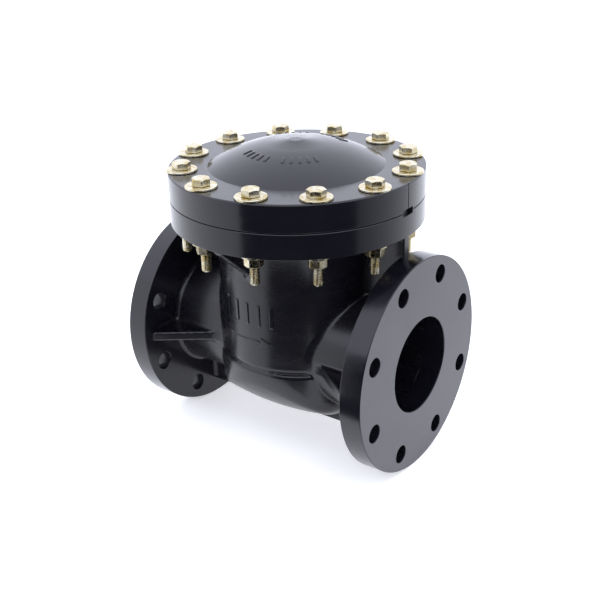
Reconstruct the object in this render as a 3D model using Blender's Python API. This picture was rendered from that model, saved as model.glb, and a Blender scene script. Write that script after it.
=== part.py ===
"""DN 100 flanged swing check valve, moulded PVC with a bolted domed cover.

Metres, +Z up, floor at z = 0.  The port axis runs along X at AXIS_Z; flow goes
from -X (inlet) to +X (outlet).  The vertical axis of the cover is x = y = 0.
"""
import math

import bmesh
import bpy
from mathutils import Matrix, Vector

# ------------------------------------------------------------------ dimensions
GAP = 0.0003                 # clearance left between pieces that touch

# end flanges (class 150, nominal size 4 inch)
FLANGE_R = 0.1143
FLANGE_T = 0.0235
FACE_X = 0.150               # half of the face-to-face length
BORE_R = 0.0505
PORT_BOLT_R = 0.09525        # radius of the pipe bolt circle
PORT_HOLE_R = 0.0095
PORT_HOLES = 8
AXIS_Z = FLANGE_R            # height of the port axis above the floor

# body shell
NECK_R = 0.064
NECK_ROOT_R = 0.069          # neck radius where it meets the back of a flange
BARREL_R = 0.0845
BARREL_WIDE_R = 0.0858
BARREL_FLARE_R = 0.098
BARREL_LOW = -0.0135         # the barrel ends just below the port axis, on the bowl
BOWL_R = 0.0870              # lower part of the body, seen from above
BOWL_TOP = -0.0125
BOWL_BELLY_R = 0.0836        # the same part, seen along the port axis
CHAMBER_R = 0.075
CHAMBER_LOW = -0.038
RUN_CAVITY_R = 0.0615
RUN_CAVITY_X = 0.0530
RUN_CAVITY_TAPER = 0.0090

# bolted joint between body and cover
JOINT_R = 0.1325
BODY_FLANGE_LOW = 0.1356     # heights are measured from the port axis
JOINT_Z = 0.1616
COVER_TOP = 0.1906
JOINT_SPLIT = 0.0006         # visible slot between the two rims
COVER_BOLT_R = 0.1176
COVER_BOLTS = 12
COVER_HOLE_R = 0.0056
PRY_NOTCH = (0.004, 0.018, 0.0068)

# dome on the cover
DOME_R = 0.0915
DOME_H = 0.0250
DOME_WALL = 0.0120
GATE_R = 0.0075
GATE_H = 0.0006
DOME_BAR_TURNS = (-124.0, -106.0, -88.0, -50.0, 56.0, 74.0, 92.0, 130.0)   # degrees round the cover
DOME_BAR_R = 0.052           # distance of the bars from the cover axis
DOME_BAR = (0.0100, 0.0030, 0.0010)

# gasket between body and cover
GASKET_IN = 0.0790
GASKET_OUT = 0.1085
GASKET_T = 0.0014
GASKET_SEAT = 0.0014

# cover fasteners, M10
THREAD_R = 0.0050
HEAD_AF = 0.0170
HEAD_H = 0.0070
NUT_AF = 0.0170
NUT_H = 0.0098
BOLT_PAST_NUT = 0.0190
WASHER_R = 0.0160
WASHER_HOLE_R = 0.0056
WASHER_T = 0.0022
NUT_WASHER_R = 0.0125
TURNS_DEG = (4.0, 22.0, 41.0, 13.0, 35.0, 8.0, 27.0, 49.0, 17.0, 2.0, 31.0, 44.0)   # of the bolt heads

# ribs
RIB_T = 0.010
WEB_REACH = 0.1315
KEEL_Z = -0.0980
SIDE_RIB_OUT = 0.1045
SIDE_RIB_IN = 0.0690
SIDE_RIB_X = 0.0750
GUSSET_T = 0.008

# raised marks on the two sides of the barrel
MARK_BARS = 5
MARK_LEFT = -0.0365
MARK_PITCH = 0.0145
MARK_WIDTH = 0.004
MARK_HEIGHT = 0.024
MARK_Z = 0.040
MARK_PROUD = 0.0012
ARROW_FROM = -0.046
ARROW_TO = 0.024
ARROW_BARB = 0.0055
ARROW_HEAD = 0.014
ARROW_SHAFT = 0.0014         # half of the shaft's width
ARROW_Z = 0.022

# closing mechanism
SEAT_X = -0.050              # plane of the moulded seat face
SEAT_TUBE_R = 0.0635
SEAT_RING_OUT = 0.0600
SEAT_RING_IN = 0.0520
SEAT_RING_T = 0.0030
SEAT_RING_SUNK = 0.0020
DISC_R = 0.0570
DISC_T = 0.0085
FACING_T = 0.0030
FACING_OUT = 0.0560
FACING_IN = 0.0440
DISC_STUD_R = 0.0050
DISC_STUD_LEN = 0.0235
PIN_X = -0.0400
PIN_Z = 0.0680
PIN_R = 0.0040
PIN_CLEAR = 0.00035
PIN_HALF = 0.0330
LUG_Y = 0.0210
LUG_T = 0.0080
LUG_R = 0.0095
ARM_T = 0.0080
ARM_EYE_R = 0.0090
ARM_EYE_HALF = 0.0160
ARM_BOSS_R = 0.0130
CLIP_R = 0.0068
CLIP_T = 0.0012


# --------------------------------------------------------------------- helpers
def clear_scene():
    """Remove every object that is in the scene."""
    for obj in list(bpy.data.objects):
        bpy.data.objects.remove(obj, do_unlink=True)


def material(name, colour, roughness, metallic=0.0, coat=0.0):
    """Make a material with one Principled BSDF."""
    mat = bpy.data.materials.new(name)
    mat.use_nodes = True
    shader = mat.node_tree.nodes["Principled BSDF"]
    shader.inputs["Base Color"].default_value = (*colour, 1.0)
    shader.inputs["Roughness"].default_value = roughness
    shader.inputs["Metallic"].default_value = metallic
    shader.inputs["Coat Weight"].default_value = coat
    mat.diffuse_color = (*colour, 1.0)
    return mat


def pvc():
    """Black moulded PVC of the pressure shell."""
    return material("black_pvc", (0.012, 0.012, 0.017), 0.30, coat=0.2)


def zinc():
    """Yellow chromate zinc plating on steel."""
    return material("yellow_zinc", (0.56, 0.45, 0.23), 0.28, metallic=1.0)


def rubber():
    """Black EPDM rubber."""
    return material("epdm", (0.010, 0.010, 0.010), 0.75)


def stainless():
    """Plain stainless steel of the inner hardware."""
    return material("stainless", (0.52, 0.52, 0.52), 0.30, metallic=1.0)


def from_bmesh(name, bm):
    """Turn a bmesh into a linked object."""
    bmesh.ops.recalc_face_normals(bm, faces=bm.faces)
    mesh = bpy.data.meshes.new(name)
    bm.to_mesh(mesh)
    bm.free()
    obj = bpy.data.objects.new(name, mesh)
    bpy.context.scene.collection.objects.link(obj)
    return obj


def lathe(name, profile, steps, axis="Z", centre=(0.0, 0.0, 0.0), phase=0.0):
    """Revolve a closed (radius, along) outline about an axis through centre."""
    bm = bmesh.new()
    rings = []
    for radius, along in profile:
        if radius < 1e-9:
            rings.append([bm.verts.new((0.0, 0.0, along))])
            continue
        ring = []
        for i in range(steps):
            turn = 2.0 * math.pi * i / steps + phase
            ring.append(bm.verts.new((radius * math.cos(turn), radius * math.sin(turn), along)))
        rings.append(ring)
    count = len(rings)
    for k in range(count):
        low, high = rings[k], rings[(k + 1) % count]
        if len(low) == 1 and len(high) == 1:
            continue
        for i in range(steps):
            j = (i + 1) % steps
            if len(low) == 1:
                bm.faces.new((low[0], high[j], high[i]))
            elif len(high) == 1:
                bm.faces.new((low[i], low[j], high[0]))
            else:
                bm.faces.new((low[i], low[j], high[j], high[i]))
    if axis == "X":
        bm.transform(Matrix.Rotation(math.radians(90.0), 4, "Y"))
    elif axis == "Y":
        bm.transform(Matrix.Rotation(math.radians(-90.0), 4, "X"))
    bm.transform(Matrix.Translation(Vector(centre)))
    return from_bmesh(name, bm)


def rod(name, radius, low, high, steps, axis="Z", centre=(0.0, 0.0, 0.0), phase=0.0):
    """Plain round bar between two positions along an axis."""
    return lathe(name, [(0.0, low), (radius, low), (radius, high), (0.0, high)],
                 steps, axis, centre, phase)


def tube(name, inner, outer, low, high, steps, axis="Z", centre=(0.0, 0.0, 0.0), phase=0.0):
    """Plain ring between two positions along an axis."""
    return lathe(name, [(inner, low), (outer, low), (outer, high), (inner, high)],
                 steps, axis, centre, phase)


def slab(name, outline, low, high, axis="Z", centre=(0.0, 0.0, 0.0)):
    """Extrude a flat outline.  Axis Z: outline is x, y.  Axis Y: outline is x, z.
    Axis X: outline is y, z."""
    order = {"Z": lambda u, v, w: (u, v, w), "Y": lambda u, v, w: (u, w, v),
             "X": lambda u, v, w: (w, u, v)}[axis]
    bm = bmesh.new()
    first = [bm.verts.new(order(u, v, low)) for u, v in outline]
    last = [bm.verts.new(order(u, v, high)) for u, v in outline]
    bm.faces.new(first)
    bm.faces.new(last)
    for i in range(len(outline)):
        j = (i + 1) % len(outline)
        bm.faces.new((first[i], first[j], last[j], last[i]))
    bm.transform(Matrix.Translation(Vector(centre)))
    return from_bmesh(name, bm)


def block(name, size, centre):
    """Plain rectangular block."""
    x, y, z = (s / 2.0 for s in size)
    return slab(name, [(-x, -y), (x, -y), (x, y), (-x, y)], -z, z, "Z", centre)


def turned(obj, degrees):
    """Turn the mesh of an object about the vertical axis of the cover."""
    obj.data.transform(Matrix.Rotation(math.radians(degrees), 4, "Z"))
    return obj


def combine(base, other, operation):
    """Boolean one object into another and drop the second one."""
    step = base.modifiers.new("step", "BOOLEAN")
    step.operation = operation
    step.solver = "EXACT"
    step.object = other
    other.hide_render = True
    other.display_type = "WIRE"
    graph = bpy.context.evaluated_depsgraph_get()
    result = bpy.data.meshes.new_from_object(base.evaluated_get(graph))
    bm = bmesh.new()
    bm.from_mesh(result)
    bmesh.ops.remove_doubles(bm, verts=bm.verts, dist=0.000001)
    bm.to_mesh(result)
    bm.free()
    old = base.data
    base.modifiers.clear()
    base.data = result
    bpy.data.meshes.remove(old)
    bpy.data.objects.remove(other, do_unlink=True)
    return base


def add(base, *others):
    """Weld further solids on to a base solid."""
    for other in others:
        combine(base, other, "UNION")
    return base


def cut(base, *others):
    """Cut solids out of a base solid."""
    for other in others:
        combine(base, other, "DIFFERENCE")
    return base


def dress(obj, name, mat, smooth_deg=32.0, merge=0.00002):
    """Name, clean, colour and shade one finished piece."""
    bm = bmesh.new()
    bm.from_mesh(obj.data)
    bmesh.ops.remove_doubles(bm, verts=bm.verts, dist=merge)
    bmesh.ops.dissolve_degenerate(bm, dist=0.000005, edges=bm.edges)
    bmesh.ops.triangulate(bm, faces=[f for f in bm.faces if len(f.verts) > 4])
    bmesh.ops.recalc_face_normals(bm, faces=bm.faces)
    for face in bm.faces:
        face.smooth = True
        face.material_index = 0
    for edge in bm.edges:
        if len(edge.link_faces) == 2:
            edge.smooth = edge.calc_face_angle(0.0) < math.radians(smooth_deg)
    bm.to_mesh(obj.data)
    bm.free()
    obj.name = name
    obj.data.name = name
    obj.data.materials.clear()
    obj.data.materials.append(mat)
    return obj


def hexagon(flats, phase=0.0):
    """Corner points of a hexagon given its width across flats."""
    corner = flats / math.sqrt(3.0)
    return [(corner * math.cos(math.radians(60.0 * i) + phase),
             corner * math.sin(math.radians(60.0 * i) + phase)) for i in range(6)]


def ring_points(radius, count, offset_deg):
    """Evenly spaced positions on a circle, with their directions in degrees."""
    for i in range(count):
        degrees = offset_deg + 360.0 * i / count
        yield i, degrees, radius * math.cos(math.radians(degrees)), radius * math.sin(math.radians(degrees))


# ------------------------------------------------------------------ body shell
def body_outside():
    """Outer shape of the body moulding as one solid."""
    edge = 0.0008
    barrel = lathe("barrel", [
        (0.0, BARREL_LOW), (BARREL_R - 0.003, BARREL_LOW), (BARREL_R - 0.0008, BARREL_LOW + 0.001),
        (BARREL_R, BARREL_LOW + 0.003), (BARREL_R, 0.020), (BARREL_WIDE_R, 0.085),
        (0.0885, 0.103), (0.093, 0.120), (BARREL_FLARE_R, BODY_FLANGE_LOW),
        (JOINT_R - 0.001, BODY_FLANGE_LOW), (JOINT_R, BODY_FLANGE_LOW + 0.001),
        (JOINT_R, JOINT_Z - edge), (JOINT_R - edge, JOINT_Z), (0.0, JOINT_Z)],
        60, centre=(0.0, 0.0, AXIS_Z))
    back = FACE_X - FLANGE_T
    half = [(NECK_R, 0.0), (NECK_R, 0.118), (NECK_ROOT_R, back), (FLANGE_R - edge, back),
            (FLANGE_R, back + edge), (FLANGE_R, FACE_X - edge), (FLANGE_R - edge, FACE_X), (0.0, FACE_X)]
    steps = 48
    outline = [(r, -x) for r, x in reversed(half[1:])] + half
    grow = 1.0 / math.cos(math.pi / steps)
    pipe = lathe("pipe", [(r * grow, x) for r, x in outline], steps, "X",
                 (0.0, 0.0, AXIS_Z), math.pi / steps)
    return add(barrel, bowl(), pipe)


def bowl():
    """Lower part of the body: a bulged level cylinder trimmed by an upright one."""
    half = [(BOWL_BELLY_R, 0.0), (0.0823, 0.027), (0.0805, 0.049), (0.0775, 0.062), (0.0725, 0.073),
            (NECK_R, 0.079), (0.0, 0.079)]
    steps = 48
    outline = [(r, -x) for r, x in reversed(half[1:])] + half
    belly = lathe("belly", outline, steps, "X", (0.0, 0.0, AXIS_Z), 0.021)
    trim = lathe("trim", [
        (0.0, -0.100), (0.040, -0.100), (BOWL_R - 0.006, -0.060), (BOWL_R - 0.0015, -0.045), (BOWL_R, -0.030),
        (BOWL_R, BOWL_TOP - 0.0015), (BOWL_R - 0.0015, BOWL_TOP), (0.0, BOWL_TOP)],
        56, centre=(0.0, 0.0, AXIS_Z), phase=0.013)
    return combine(belly, trim, "INTERSECT")


def body_ribs():
    """Stiffening ribs round the body, each a flat plate."""
    half = RIB_T / 2.0
    back = FACE_X - FLANGE_T + 0.002
    plates = []
    for side in (-1.0, 1.0):
        web = [(0.040 * side, 0.040), (back * side, 0.040), (back * side, FLANGE_R - 0.001),
               (WEB_REACH * side, FLANGE_R - 0.001), (WEB_REACH * side, BODY_FLANGE_LOW + 0.002),
               (0.040 * side, BODY_FLANGE_LOW + 0.002)]
        plates.append(slab("web", web, -half, half, "Y", (0.0, 0.0, AXIS_Z)))
        for hand in (-1.0, 1.0):
            rib = [(0.045 * side, 0.0), (back * side, 0.0), (back * side, hand * SIDE_RIB_OUT),
                   (SIDE_RIB_X * side, hand * SIDE_RIB_IN), (0.045 * side, hand * SIDE_RIB_IN)]
            plates.append(slab("side_rib", rib, -half, half, "Z", (0.0, 0.0, AXIS_Z)))
    keel = [(-back, KEEL_Z), (back, KEEL_Z), (back, -0.050), (-back, -0.050)]
    plates.append(slab("keel", keel, -half, half, "Y", (0.0, 0.0, AXIS_Z)))
    for hand in (-1.0, 1.0):
        gusset = [(hand * 0.070, BODY_FLANGE_LOW + 0.002), (hand * 0.1300, BODY_FLANGE_LOW + 0.002),
                  (hand * 0.1300, BODY_FLANGE_LOW - 0.003), (hand * 0.0885, 0.096), (hand * 0.070, 0.090)]
        plates.append(slab("gusset", gusset, -GUSSET_T / 2.0, GUSSET_T / 2.0, "X", (0.0, 0.0, AXIS_Z)))
    return plates


def body_marks():
    """Plain raised bars and a flow arrow on the two sides of the barrel."""
    marks = []
    proud = BARREL_R + 0.0010 + MARK_PROUD
    shapes = []
    for k in range(MARK_BARS):
        x = MARK_LEFT + MARK_PITCH * k
        shapes.append([(x, MARK_Z), (x + MARK_WIDTH, MARK_Z), (x + MARK_WIDTH, MARK_Z + MARK_HEIGHT),
                       (x, MARK_Z + MARK_HEIGHT)])
    neck = ARROW_TO - ARROW_HEAD
    shapes.append([(ARROW_FROM, -ARROW_SHAFT), (neck, -ARROW_SHAFT), (neck, -ARROW_BARB), (ARROW_TO, 0.0),
                   (neck, ARROW_BARB), (neck, ARROW_SHAFT), (ARROW_FROM, ARROW_SHAFT)])
    for hand in (-1.0, 1.0):
        for shape in shapes:
            base = AXIS_Z + (ARROW_Z if shape is shapes[-1] else 0.0)
            low, high = sorted((hand * 0.060, hand * 0.100))
            plate = slab("mark", shape, low, high, "Y", (0.0, 0.0, base))
            keep = rod("keep", proud, -0.010, 0.120, 60, "Z", (0.0, 0.0, AXIS_Z))
            marks.append(combine(plate, keep, "INTERSECT"))
    return marks


def body_inside():
    """Chamber and straight bore, the two cavities inside the body."""
    steps = 40
    chamber = lathe("chamber", [
        (0.0, CHAMBER_LOW), (0.050, CHAMBER_LOW), (0.068, CHAMBER_LOW + 0.010),
        (CHAMBER_R, CHAMBER_LOW + 0.024), (CHAMBER_R, JOINT_Z + 0.010), (0.0, JOINT_Z + 0.010)],
        steps, centre=(0.0, 0.0, AXIS_Z))
    run = lathe("run_cavity", [
        (0.0, SEAT_X - 0.0010), (RUN_CAVITY_R, SEAT_X - 0.0010), (RUN_CAVITY_R, RUN_CAVITY_X),
        (BORE_R - 0.0040, RUN_CAVITY_X + RUN_CAVITY_TAPER), (0.0, RUN_CAVITY_X + RUN_CAVITY_TAPER)],
        steps, "X", (0.0, 0.0, AXIS_Z), 0.02)
    cavity = add(chamber, run)
    seat_tube = rod("seat_tube", SEAT_TUBE_R, -0.100, SEAT_X, steps, "X", (0.0, 0.0, AXIS_Z), 0.017)
    cut(cavity, seat_tube)
    bore = rod("bore", BORE_R, -FACE_X - 0.010, FACE_X + 0.010, steps, "X", (0.0, 0.0, AXIS_Z), 0.041)
    return cavity, bore


def pin_lugs():
    """Pair of moulded lugs above the seat that hold the hinge pin."""
    lugs = []
    for hand in (-1.0, 1.0):
        middle = hand * (LUG_Y + LUG_T / 2.0)
        foot = [(-0.0600, 0.0525), (PIN_X + LUG_R, 0.0590), (PIN_X + LUG_R, PIN_Z)]
        foot += [(PIN_X + LUG_R * math.cos(math.radians(a)), PIN_Z + LUG_R * math.sin(math.radians(a)))
                 for a in (30, 60, 90, 120, 150)]
        foot += [(-0.0600, PIN_Z - 0.001), (-0.0780, PIN_Z - 0.003), (-0.0780, 0.0525)]
        lugs.append(slab("lug", foot, middle - LUG_T / 2.0, middle + LUG_T / 2.0, "Y", (0.0, 0.0, AXIS_Z)))
    return lugs


def body_holes():
    """Bolt holes, gasket recess, seat ring recess, pin bore and pry notch."""
    holes = []
    for side in (-1.0, 1.0):
        for _, _, y, z in ring_points(PORT_BOLT_R, PORT_HOLES, 22.5):
            low, high = sorted((side * (FACE_X - FLANGE_T - 0.006), side * (FACE_X + 0.006)))
            holes.append(rod("port_hole", PORT_HOLE_R, low, high, 16, "X", (0.0, y, AXIS_Z + z)))
    for _, _, x, y in ring_points(COVER_BOLT_R, COVER_BOLTS, 15.0):
        holes.append(rod("bolt_hole", COVER_HOLE_R, BODY_FLANGE_LOW - 0.005, JOINT_Z + 0.005, 12,
                         "Z", (x, y, AXIS_Z)))
    holes.append(tube("gasket_seat", GASKET_IN - GAP, GASKET_OUT + GAP, JOINT_Z - GASKET_SEAT,
                      JOINT_Z + 0.004, 48, "Z", (0.0, 0.0, AXIS_Z)))
    holes.append(tube("ring_seat", SEAT_RING_IN - GAP, SEAT_RING_OUT + GAP, SEAT_X - SEAT_RING_SUNK,
                      SEAT_X + 0.004, 48, "X", (0.0, 0.0, AXIS_Z)))
    holes.append(rod("pin_bore", PIN_R + GAP, -LUG_Y - LUG_T - 0.004, LUG_Y + LUG_T + 0.004, 20, "Y",
                     (PIN_X, 0.0, AXIS_Z + PIN_Z)))
    return holes


def pry_notch(name):
    """Block that cuts the recess for levering the cover off."""
    depth, width, height = PRY_NOTCH
    return block(name, (depth * 2.0, width, height),
                 (JOINT_R, 0.0, AXIS_Z + JOINT_Z + JOINT_SPLIT / 2.0))


def valve_body(mat):
    """Body moulding: barrel, run, necks, end flanges, top flange and ribs."""
    body = body_outside()
    add(body, *body_ribs())
    add(body, *body_marks())
    cut(body, *body_inside())
    add(body, *pin_lugs())
    cut(body, *body_holes())
    cut(body, pry_notch("notch"))
    return dress(body, "valve_body", mat)


# ----------------------------------------------------------------------- cover
def dome_sphere():
    """Radius of the sphere that the dome is a cap of."""
    return (DOME_R ** 2 + DOME_H ** 2) / (2.0 * DOME_H)


def dome_height(radius):
    """Height of the dome surface above the cover top at a radius."""
    sphere = dome_sphere()
    return math.sqrt(sphere ** 2 - radius ** 2) - (sphere - DOME_H)


def dome_bar(degrees):
    """One plain raised bar on the dome, lying square to the dome surface."""
    long, wide, proud = DOME_BAR
    bar = block("bar", (long, wide, 2.0 * proud), (0.0, 0.0, 0.0))
    slope = math.asin(DOME_BAR_R / dome_sphere())
    bar.data.transform(Matrix.Rotation(slope, 4, "Y"))
    height = AXIS_Z + COVER_TOP + dome_height(DOME_BAR_R)
    bar.data.transform(Matrix.Translation((DOME_BAR_R, 0.0, height)))
    return turned(bar, degrees)


def bonnet(mat):
    """Cover with its bolting rim, hollow dome, gate mark and raised bars."""
    low = JOINT_Z + JOINT_SPLIT
    rim = [(radius, COVER_TOP + dome_height(radius) - DOME_WALL) for radius in (0.0, 0.020, 0.040, 0.058)]
    rim += [(CHAMBER_R - 0.005, COVER_TOP - DOME_WALL), (CHAMBER_R, COVER_TOP - DOME_WALL - 0.010),
            (CHAMBER_R, low), (JOINT_R - 0.0008, low), (JOINT_R, low + 0.0008),
            (JOINT_R, COVER_TOP - 0.0015), (JOINT_R - 0.0015, COVER_TOP), (DOME_R + 0.003, COVER_TOP)]
    rings = 12
    for k in range(rings - 1):
        radius = DOME_R * math.cos(math.pi / 2.0 * (k + 0.4) / rings)
        rim.append((radius, COVER_TOP + dome_height(radius)))
    rim.append((GATE_R, COVER_TOP + dome_height(GATE_R)))
    rim.append((GATE_R, COVER_TOP + DOME_H + GATE_H - 0.0003))
    rim.append((0.0, COVER_TOP + DOME_H + GATE_H - 0.0003))
    cover = lathe("cover", rim, 60, centre=(0.0, 0.0, AXIS_Z))
    for degrees in DOME_BAR_TURNS:
        add(cover, dome_bar(degrees))
    for _, _, x, y in ring_points(COVER_BOLT_R, COVER_BOLTS, 15.0):
        cut(cover, rod("bolt_hole", COVER_HOLE_R, low - 0.005, COVER_TOP + 0.005, 12, "Z", (x, y, AXIS_Z)))
    cut(cover, pry_notch("notch"))
    return dress(cover, "bonnet", mat)


def bonnet_gasket(mat):
    """Flat ring between body and cover, inside the bolt circle."""
    low = JOINT_Z - GASKET_SEAT + GAP
    ring = tube("gasket", GASKET_IN, GASKET_OUT, low, low + GASKET_T, 48, "Z", (0.0, 0.0, AXIS_Z))
    return dress(ring, "bonnet_gasket", mat)


# ------------------------------------------------------------------- fasteners
def cover_bolt(index, degrees, x, y, mat):
    """Hexagon head bolt through the cover and the body flange."""
    seat = COVER_TOP + 2.0 * GAP + WASHER_T
    end = BODY_FLANGE_LOW - 3.0 * GAP - WASHER_T - NUT_H - BOLT_PAST_NUT
    head = slab("head", hexagon(HEAD_AF), seat, seat + HEAD_H, "Z")
    shank = lathe("shank", [(0.0, end), (THREAD_R - 0.0008, end), (THREAD_R, end + 0.0008),
                            (THREAD_R, seat + 0.002), (0.0, seat + 0.002)], 12)
    add(head, shank)
    head.data.transform(Matrix.Translation((x, y, AXIS_Z)) @ Matrix.Rotation(math.radians(degrees), 4, "Z"))
    return dress(head, "cover_bolt_%02d" % (index + 1), mat)


def head_washer(index, x, y, mat):
    """Wide washer under a bolt head."""
    low = COVER_TOP + GAP
    ring = tube("washer", WASHER_HOLE_R, WASHER_R, low, low + WASHER_T, 16, "Z", (x, y, AXIS_Z))
    return dress(ring, "head_washer_%02d" % (index + 1), mat)


def nut_washer(index, x, y, mat):
    """Washer between a nut and the underside of the body flange."""
    high = BODY_FLANGE_LOW - GAP
    ring = tube("washer", WASHER_HOLE_R, NUT_WASHER_R, high - WASHER_T, high, 14, "Z", (x, y, AXIS_Z))
    return dress(ring, "nut_washer_%02d" % (index + 1), mat)


def cover_nut(index, degrees, x, y, mat):
    """Hexagon nut on the lower end of a cover bolt."""
    high = BODY_FLANGE_LOW - 2.0 * GAP - WASHER_T
    nut = slab("nut", hexagon(NUT_AF), high - NUT_H, high, "Z")
    cut(nut, rod("bore", THREAD_R + GAP, high - NUT_H - 0.002, high + 0.002, 12))
    nut.data.transform(Matrix.Translation((x, y, AXIS_Z)) @ Matrix.Rotation(math.radians(degrees), 4, "Z"))
    return dress(nut, "cover_nut_%02d" % (index + 1), mat)


def fasteners(mat):
    """All the bolts, washers and nuts round the cover."""
    for index, _, x, y in ring_points(COVER_BOLT_R, COVER_BOLTS, 15.0):
        cover_bolt(index, TURNS_DEG[index], x, y, mat)
        head_washer(index, x, y, mat)
        nut_washer(index, x, y, mat)
        cover_nut(index, TURNS_DEG[(index + 5) % COVER_BOLTS], x, y, mat)


# ----------------------------------------------------------- closing mechanism
def seat_ring(mat):
    """Ring let into the seat face that the disc closes on."""
    low = SEAT_X - SEAT_RING_SUNK + GAP
    ring = tube("ring", SEAT_RING_IN, SEAT_RING_OUT, low, low + SEAT_RING_T, 48, "X", (0.0, 0.0, AXIS_Z))
    return dress(ring, "seat_ring", mat)


def disc_back():
    """Position of the outlet side of the disc along the port axis."""
    return disc_front() + DISC_T


def disc_front():
    """Position of the seat side of the disc body."""
    return SEAT_X - SEAT_RING_SUNK + SEAT_RING_T + 2.0 * GAP + 0.0012


def disc(mat):
    """Flap with its threaded stud and the recess for the rubber facing."""
    front, back = disc_front(), disc_back()
    flap = lathe("flap", [
        (0.0, front), (DISC_R - 0.001, front), (DISC_R, front + 0.001), (DISC_R, back - 0.0025),
        (DISC_R - 0.0025, back), (DISC_STUD_R, back), (DISC_STUD_R, back + DISC_STUD_LEN),
        (0.0, back + DISC_STUD_LEN)], 48, "X", (0.0, 0.0, AXIS_Z))
    cut(flap, tube("recess", FACING_IN - GAP, FACING_OUT, front - 0.004,
                   front + FACING_T - 0.0012 + GAP, 48, "X", (0.0, 0.0, AXIS_Z)))
    return dress(flap, "disc", mat)


def disc_facing(mat):
    """Rubber ring pressed into the seat side of the disc."""
    front = disc_front() - 0.0012
    ring = tube("facing", FACING_IN, FACING_OUT - GAP, front, front + FACING_T, 48, "X", (0.0, 0.0, AXIS_Z))
    return dress(ring, "disc_facing", mat)


def hinge_arm(mat):
    """Arm that hangs from the pin and carries the disc at its boss."""
    low = disc_back() + GAP
    outline = [(-ARM_BOSS_R, 0.0), (-0.0095, 0.020), (-ARM_EYE_HALF, 0.046), (-ARM_EYE_HALF, PIN_Z),
               (ARM_EYE_HALF, PIN_Z), (ARM_EYE_HALF, 0.046), (0.0095, 0.020), (ARM_BOSS_R, 0.0)]
    plate = slab("plate", outline, low, low + ARM_T, "X", (0.0, 0.0, AXIS_Z))
    boss = rod("boss", ARM_BOSS_R, low, low + ARM_T + 0.002, 32, "X", (0.0, 0.0, AXIS_Z))
    eye = rod("eye", ARM_EYE_R, -ARM_EYE_HALF, ARM_EYE_HALF, 32, "Y", (PIN_X, 0.0, AXIS_Z + PIN_Z))
    arm = add(plate, boss, eye)
    cut(arm, rod("pin_bore", PIN_R + PIN_CLEAR, -0.030, 0.030, 24, "Y", (PIN_X, 0.0, AXIS_Z + PIN_Z)))
    cut(arm, rod("stud_bore", DISC_STUD_R + GAP, low - 0.010, low + 0.030, 24, "X", (0.0, 0.0, AXIS_Z)))
    return dress(arm, "hinge_arm", mat)


def hinge_pin(mat):
    """Straight pin through the two body lugs and the arm."""
    pin = lathe("pin", [
        (0.0, -PIN_HALF), (PIN_R - 0.0006, -PIN_HALF), (PIN_R, -PIN_HALF + 0.0006),
        (PIN_R, PIN_HALF - 0.0006), (PIN_R - 0.0006, PIN_HALF), (0.0, PIN_HALF)],
        24, "Y", (PIN_X, 0.0, AXIS_Z + PIN_Z))
    return dress(pin, "hinge_pin", mat)


def pin_clip(side, name, mat):
    """Retaining ring on one end of the hinge pin."""
    near = LUG_Y + LUG_T + GAP
    low, high = sorted((side * near, side * (near + CLIP_T)))
    ring = tube("clip", PIN_R + GAP, CLIP_R, low, high, 24, "Y", (PIN_X, 0.0, AXIS_Z + PIN_Z))
    return dress(ring, name, mat)


def disc_washer(mat):
    """Washer on the disc stud behind the arm."""
    low = disc_back() + GAP + ARM_T + 0.002 + GAP
    ring = tube("washer", DISC_STUD_R + GAP, 0.0105, low, low + 0.0020, 28, "X", (0.0, 0.0, AXIS_Z))
    return dress(ring, "disc_washer", mat)


def disc_nut(mat):
    """Nut that holds the disc on the arm."""
    low = disc_back() + GAP + ARM_T + 0.002 + 2.0 * GAP + 0.0020
    nut = slab("nut", hexagon(NUT_AF, math.pi / 6.0), low, low + 0.0080, "X", (0.0, 0.0, AXIS_Z))
    cut(nut, rod("bore", DISC_STUD_R + GAP, low - 0.002, low + 0.011, 20, "X", (0.0, 0.0, AXIS_Z)))
    return dress(nut, "disc_nut", mat)


def mechanism(plastic, steel, seal):
    """Seat ring, pin, arm, disc and their hardware; the swinging pieces share an empty."""
    seat_ring(steel)
    hinge_pin(steel)
    pin_clip(-1.0, "pin_clip_near", steel)
    pin_clip(1.0, "pin_clip_far", steel)
    pivot = bpy.data.objects.new("swing_axis", None)
    pivot.location = (PIN_X, 0.0, AXIS_Z + PIN_Z)
    bpy.context.scene.collection.objects.link(pivot)
    swinging = (hinge_arm(steel), disc(plastic), disc_facing(seal), disc_washer(steel), disc_nut(steel))
    for piece in swinging:
        piece.data.transform(Matrix.Translation(-Vector(pivot.location)))
        piece.parent = pivot


def main():
    """Build every piece of the valve."""
    clear_scene()
    plastic, plated, seal, steel = pvc(), zinc(), rubber(), stainless()
    valve_body(plastic)
    bonnet(plastic)
    bonnet_gasket(seal)
    fasteners(plated)
    mechanism(plastic, steel, seal)


main()
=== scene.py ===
"""Display model of a DN 100 flanged swing check valve in moulded black PVC.

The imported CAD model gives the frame: metres, Z up, the port axis along X and the
cover axis on x = y = 0.  Each sub-assembly is a class that works out its surfaces
as whole arrays, puts them into meshes and dresses them in a procedural finish.
"""

import logging
import math
from dataclasses import dataclass
from enum import Enum
from typing import Any, Sequence

import bmesh
import bpy
import numpy as np
from mathutils import Matrix, Vector


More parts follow.
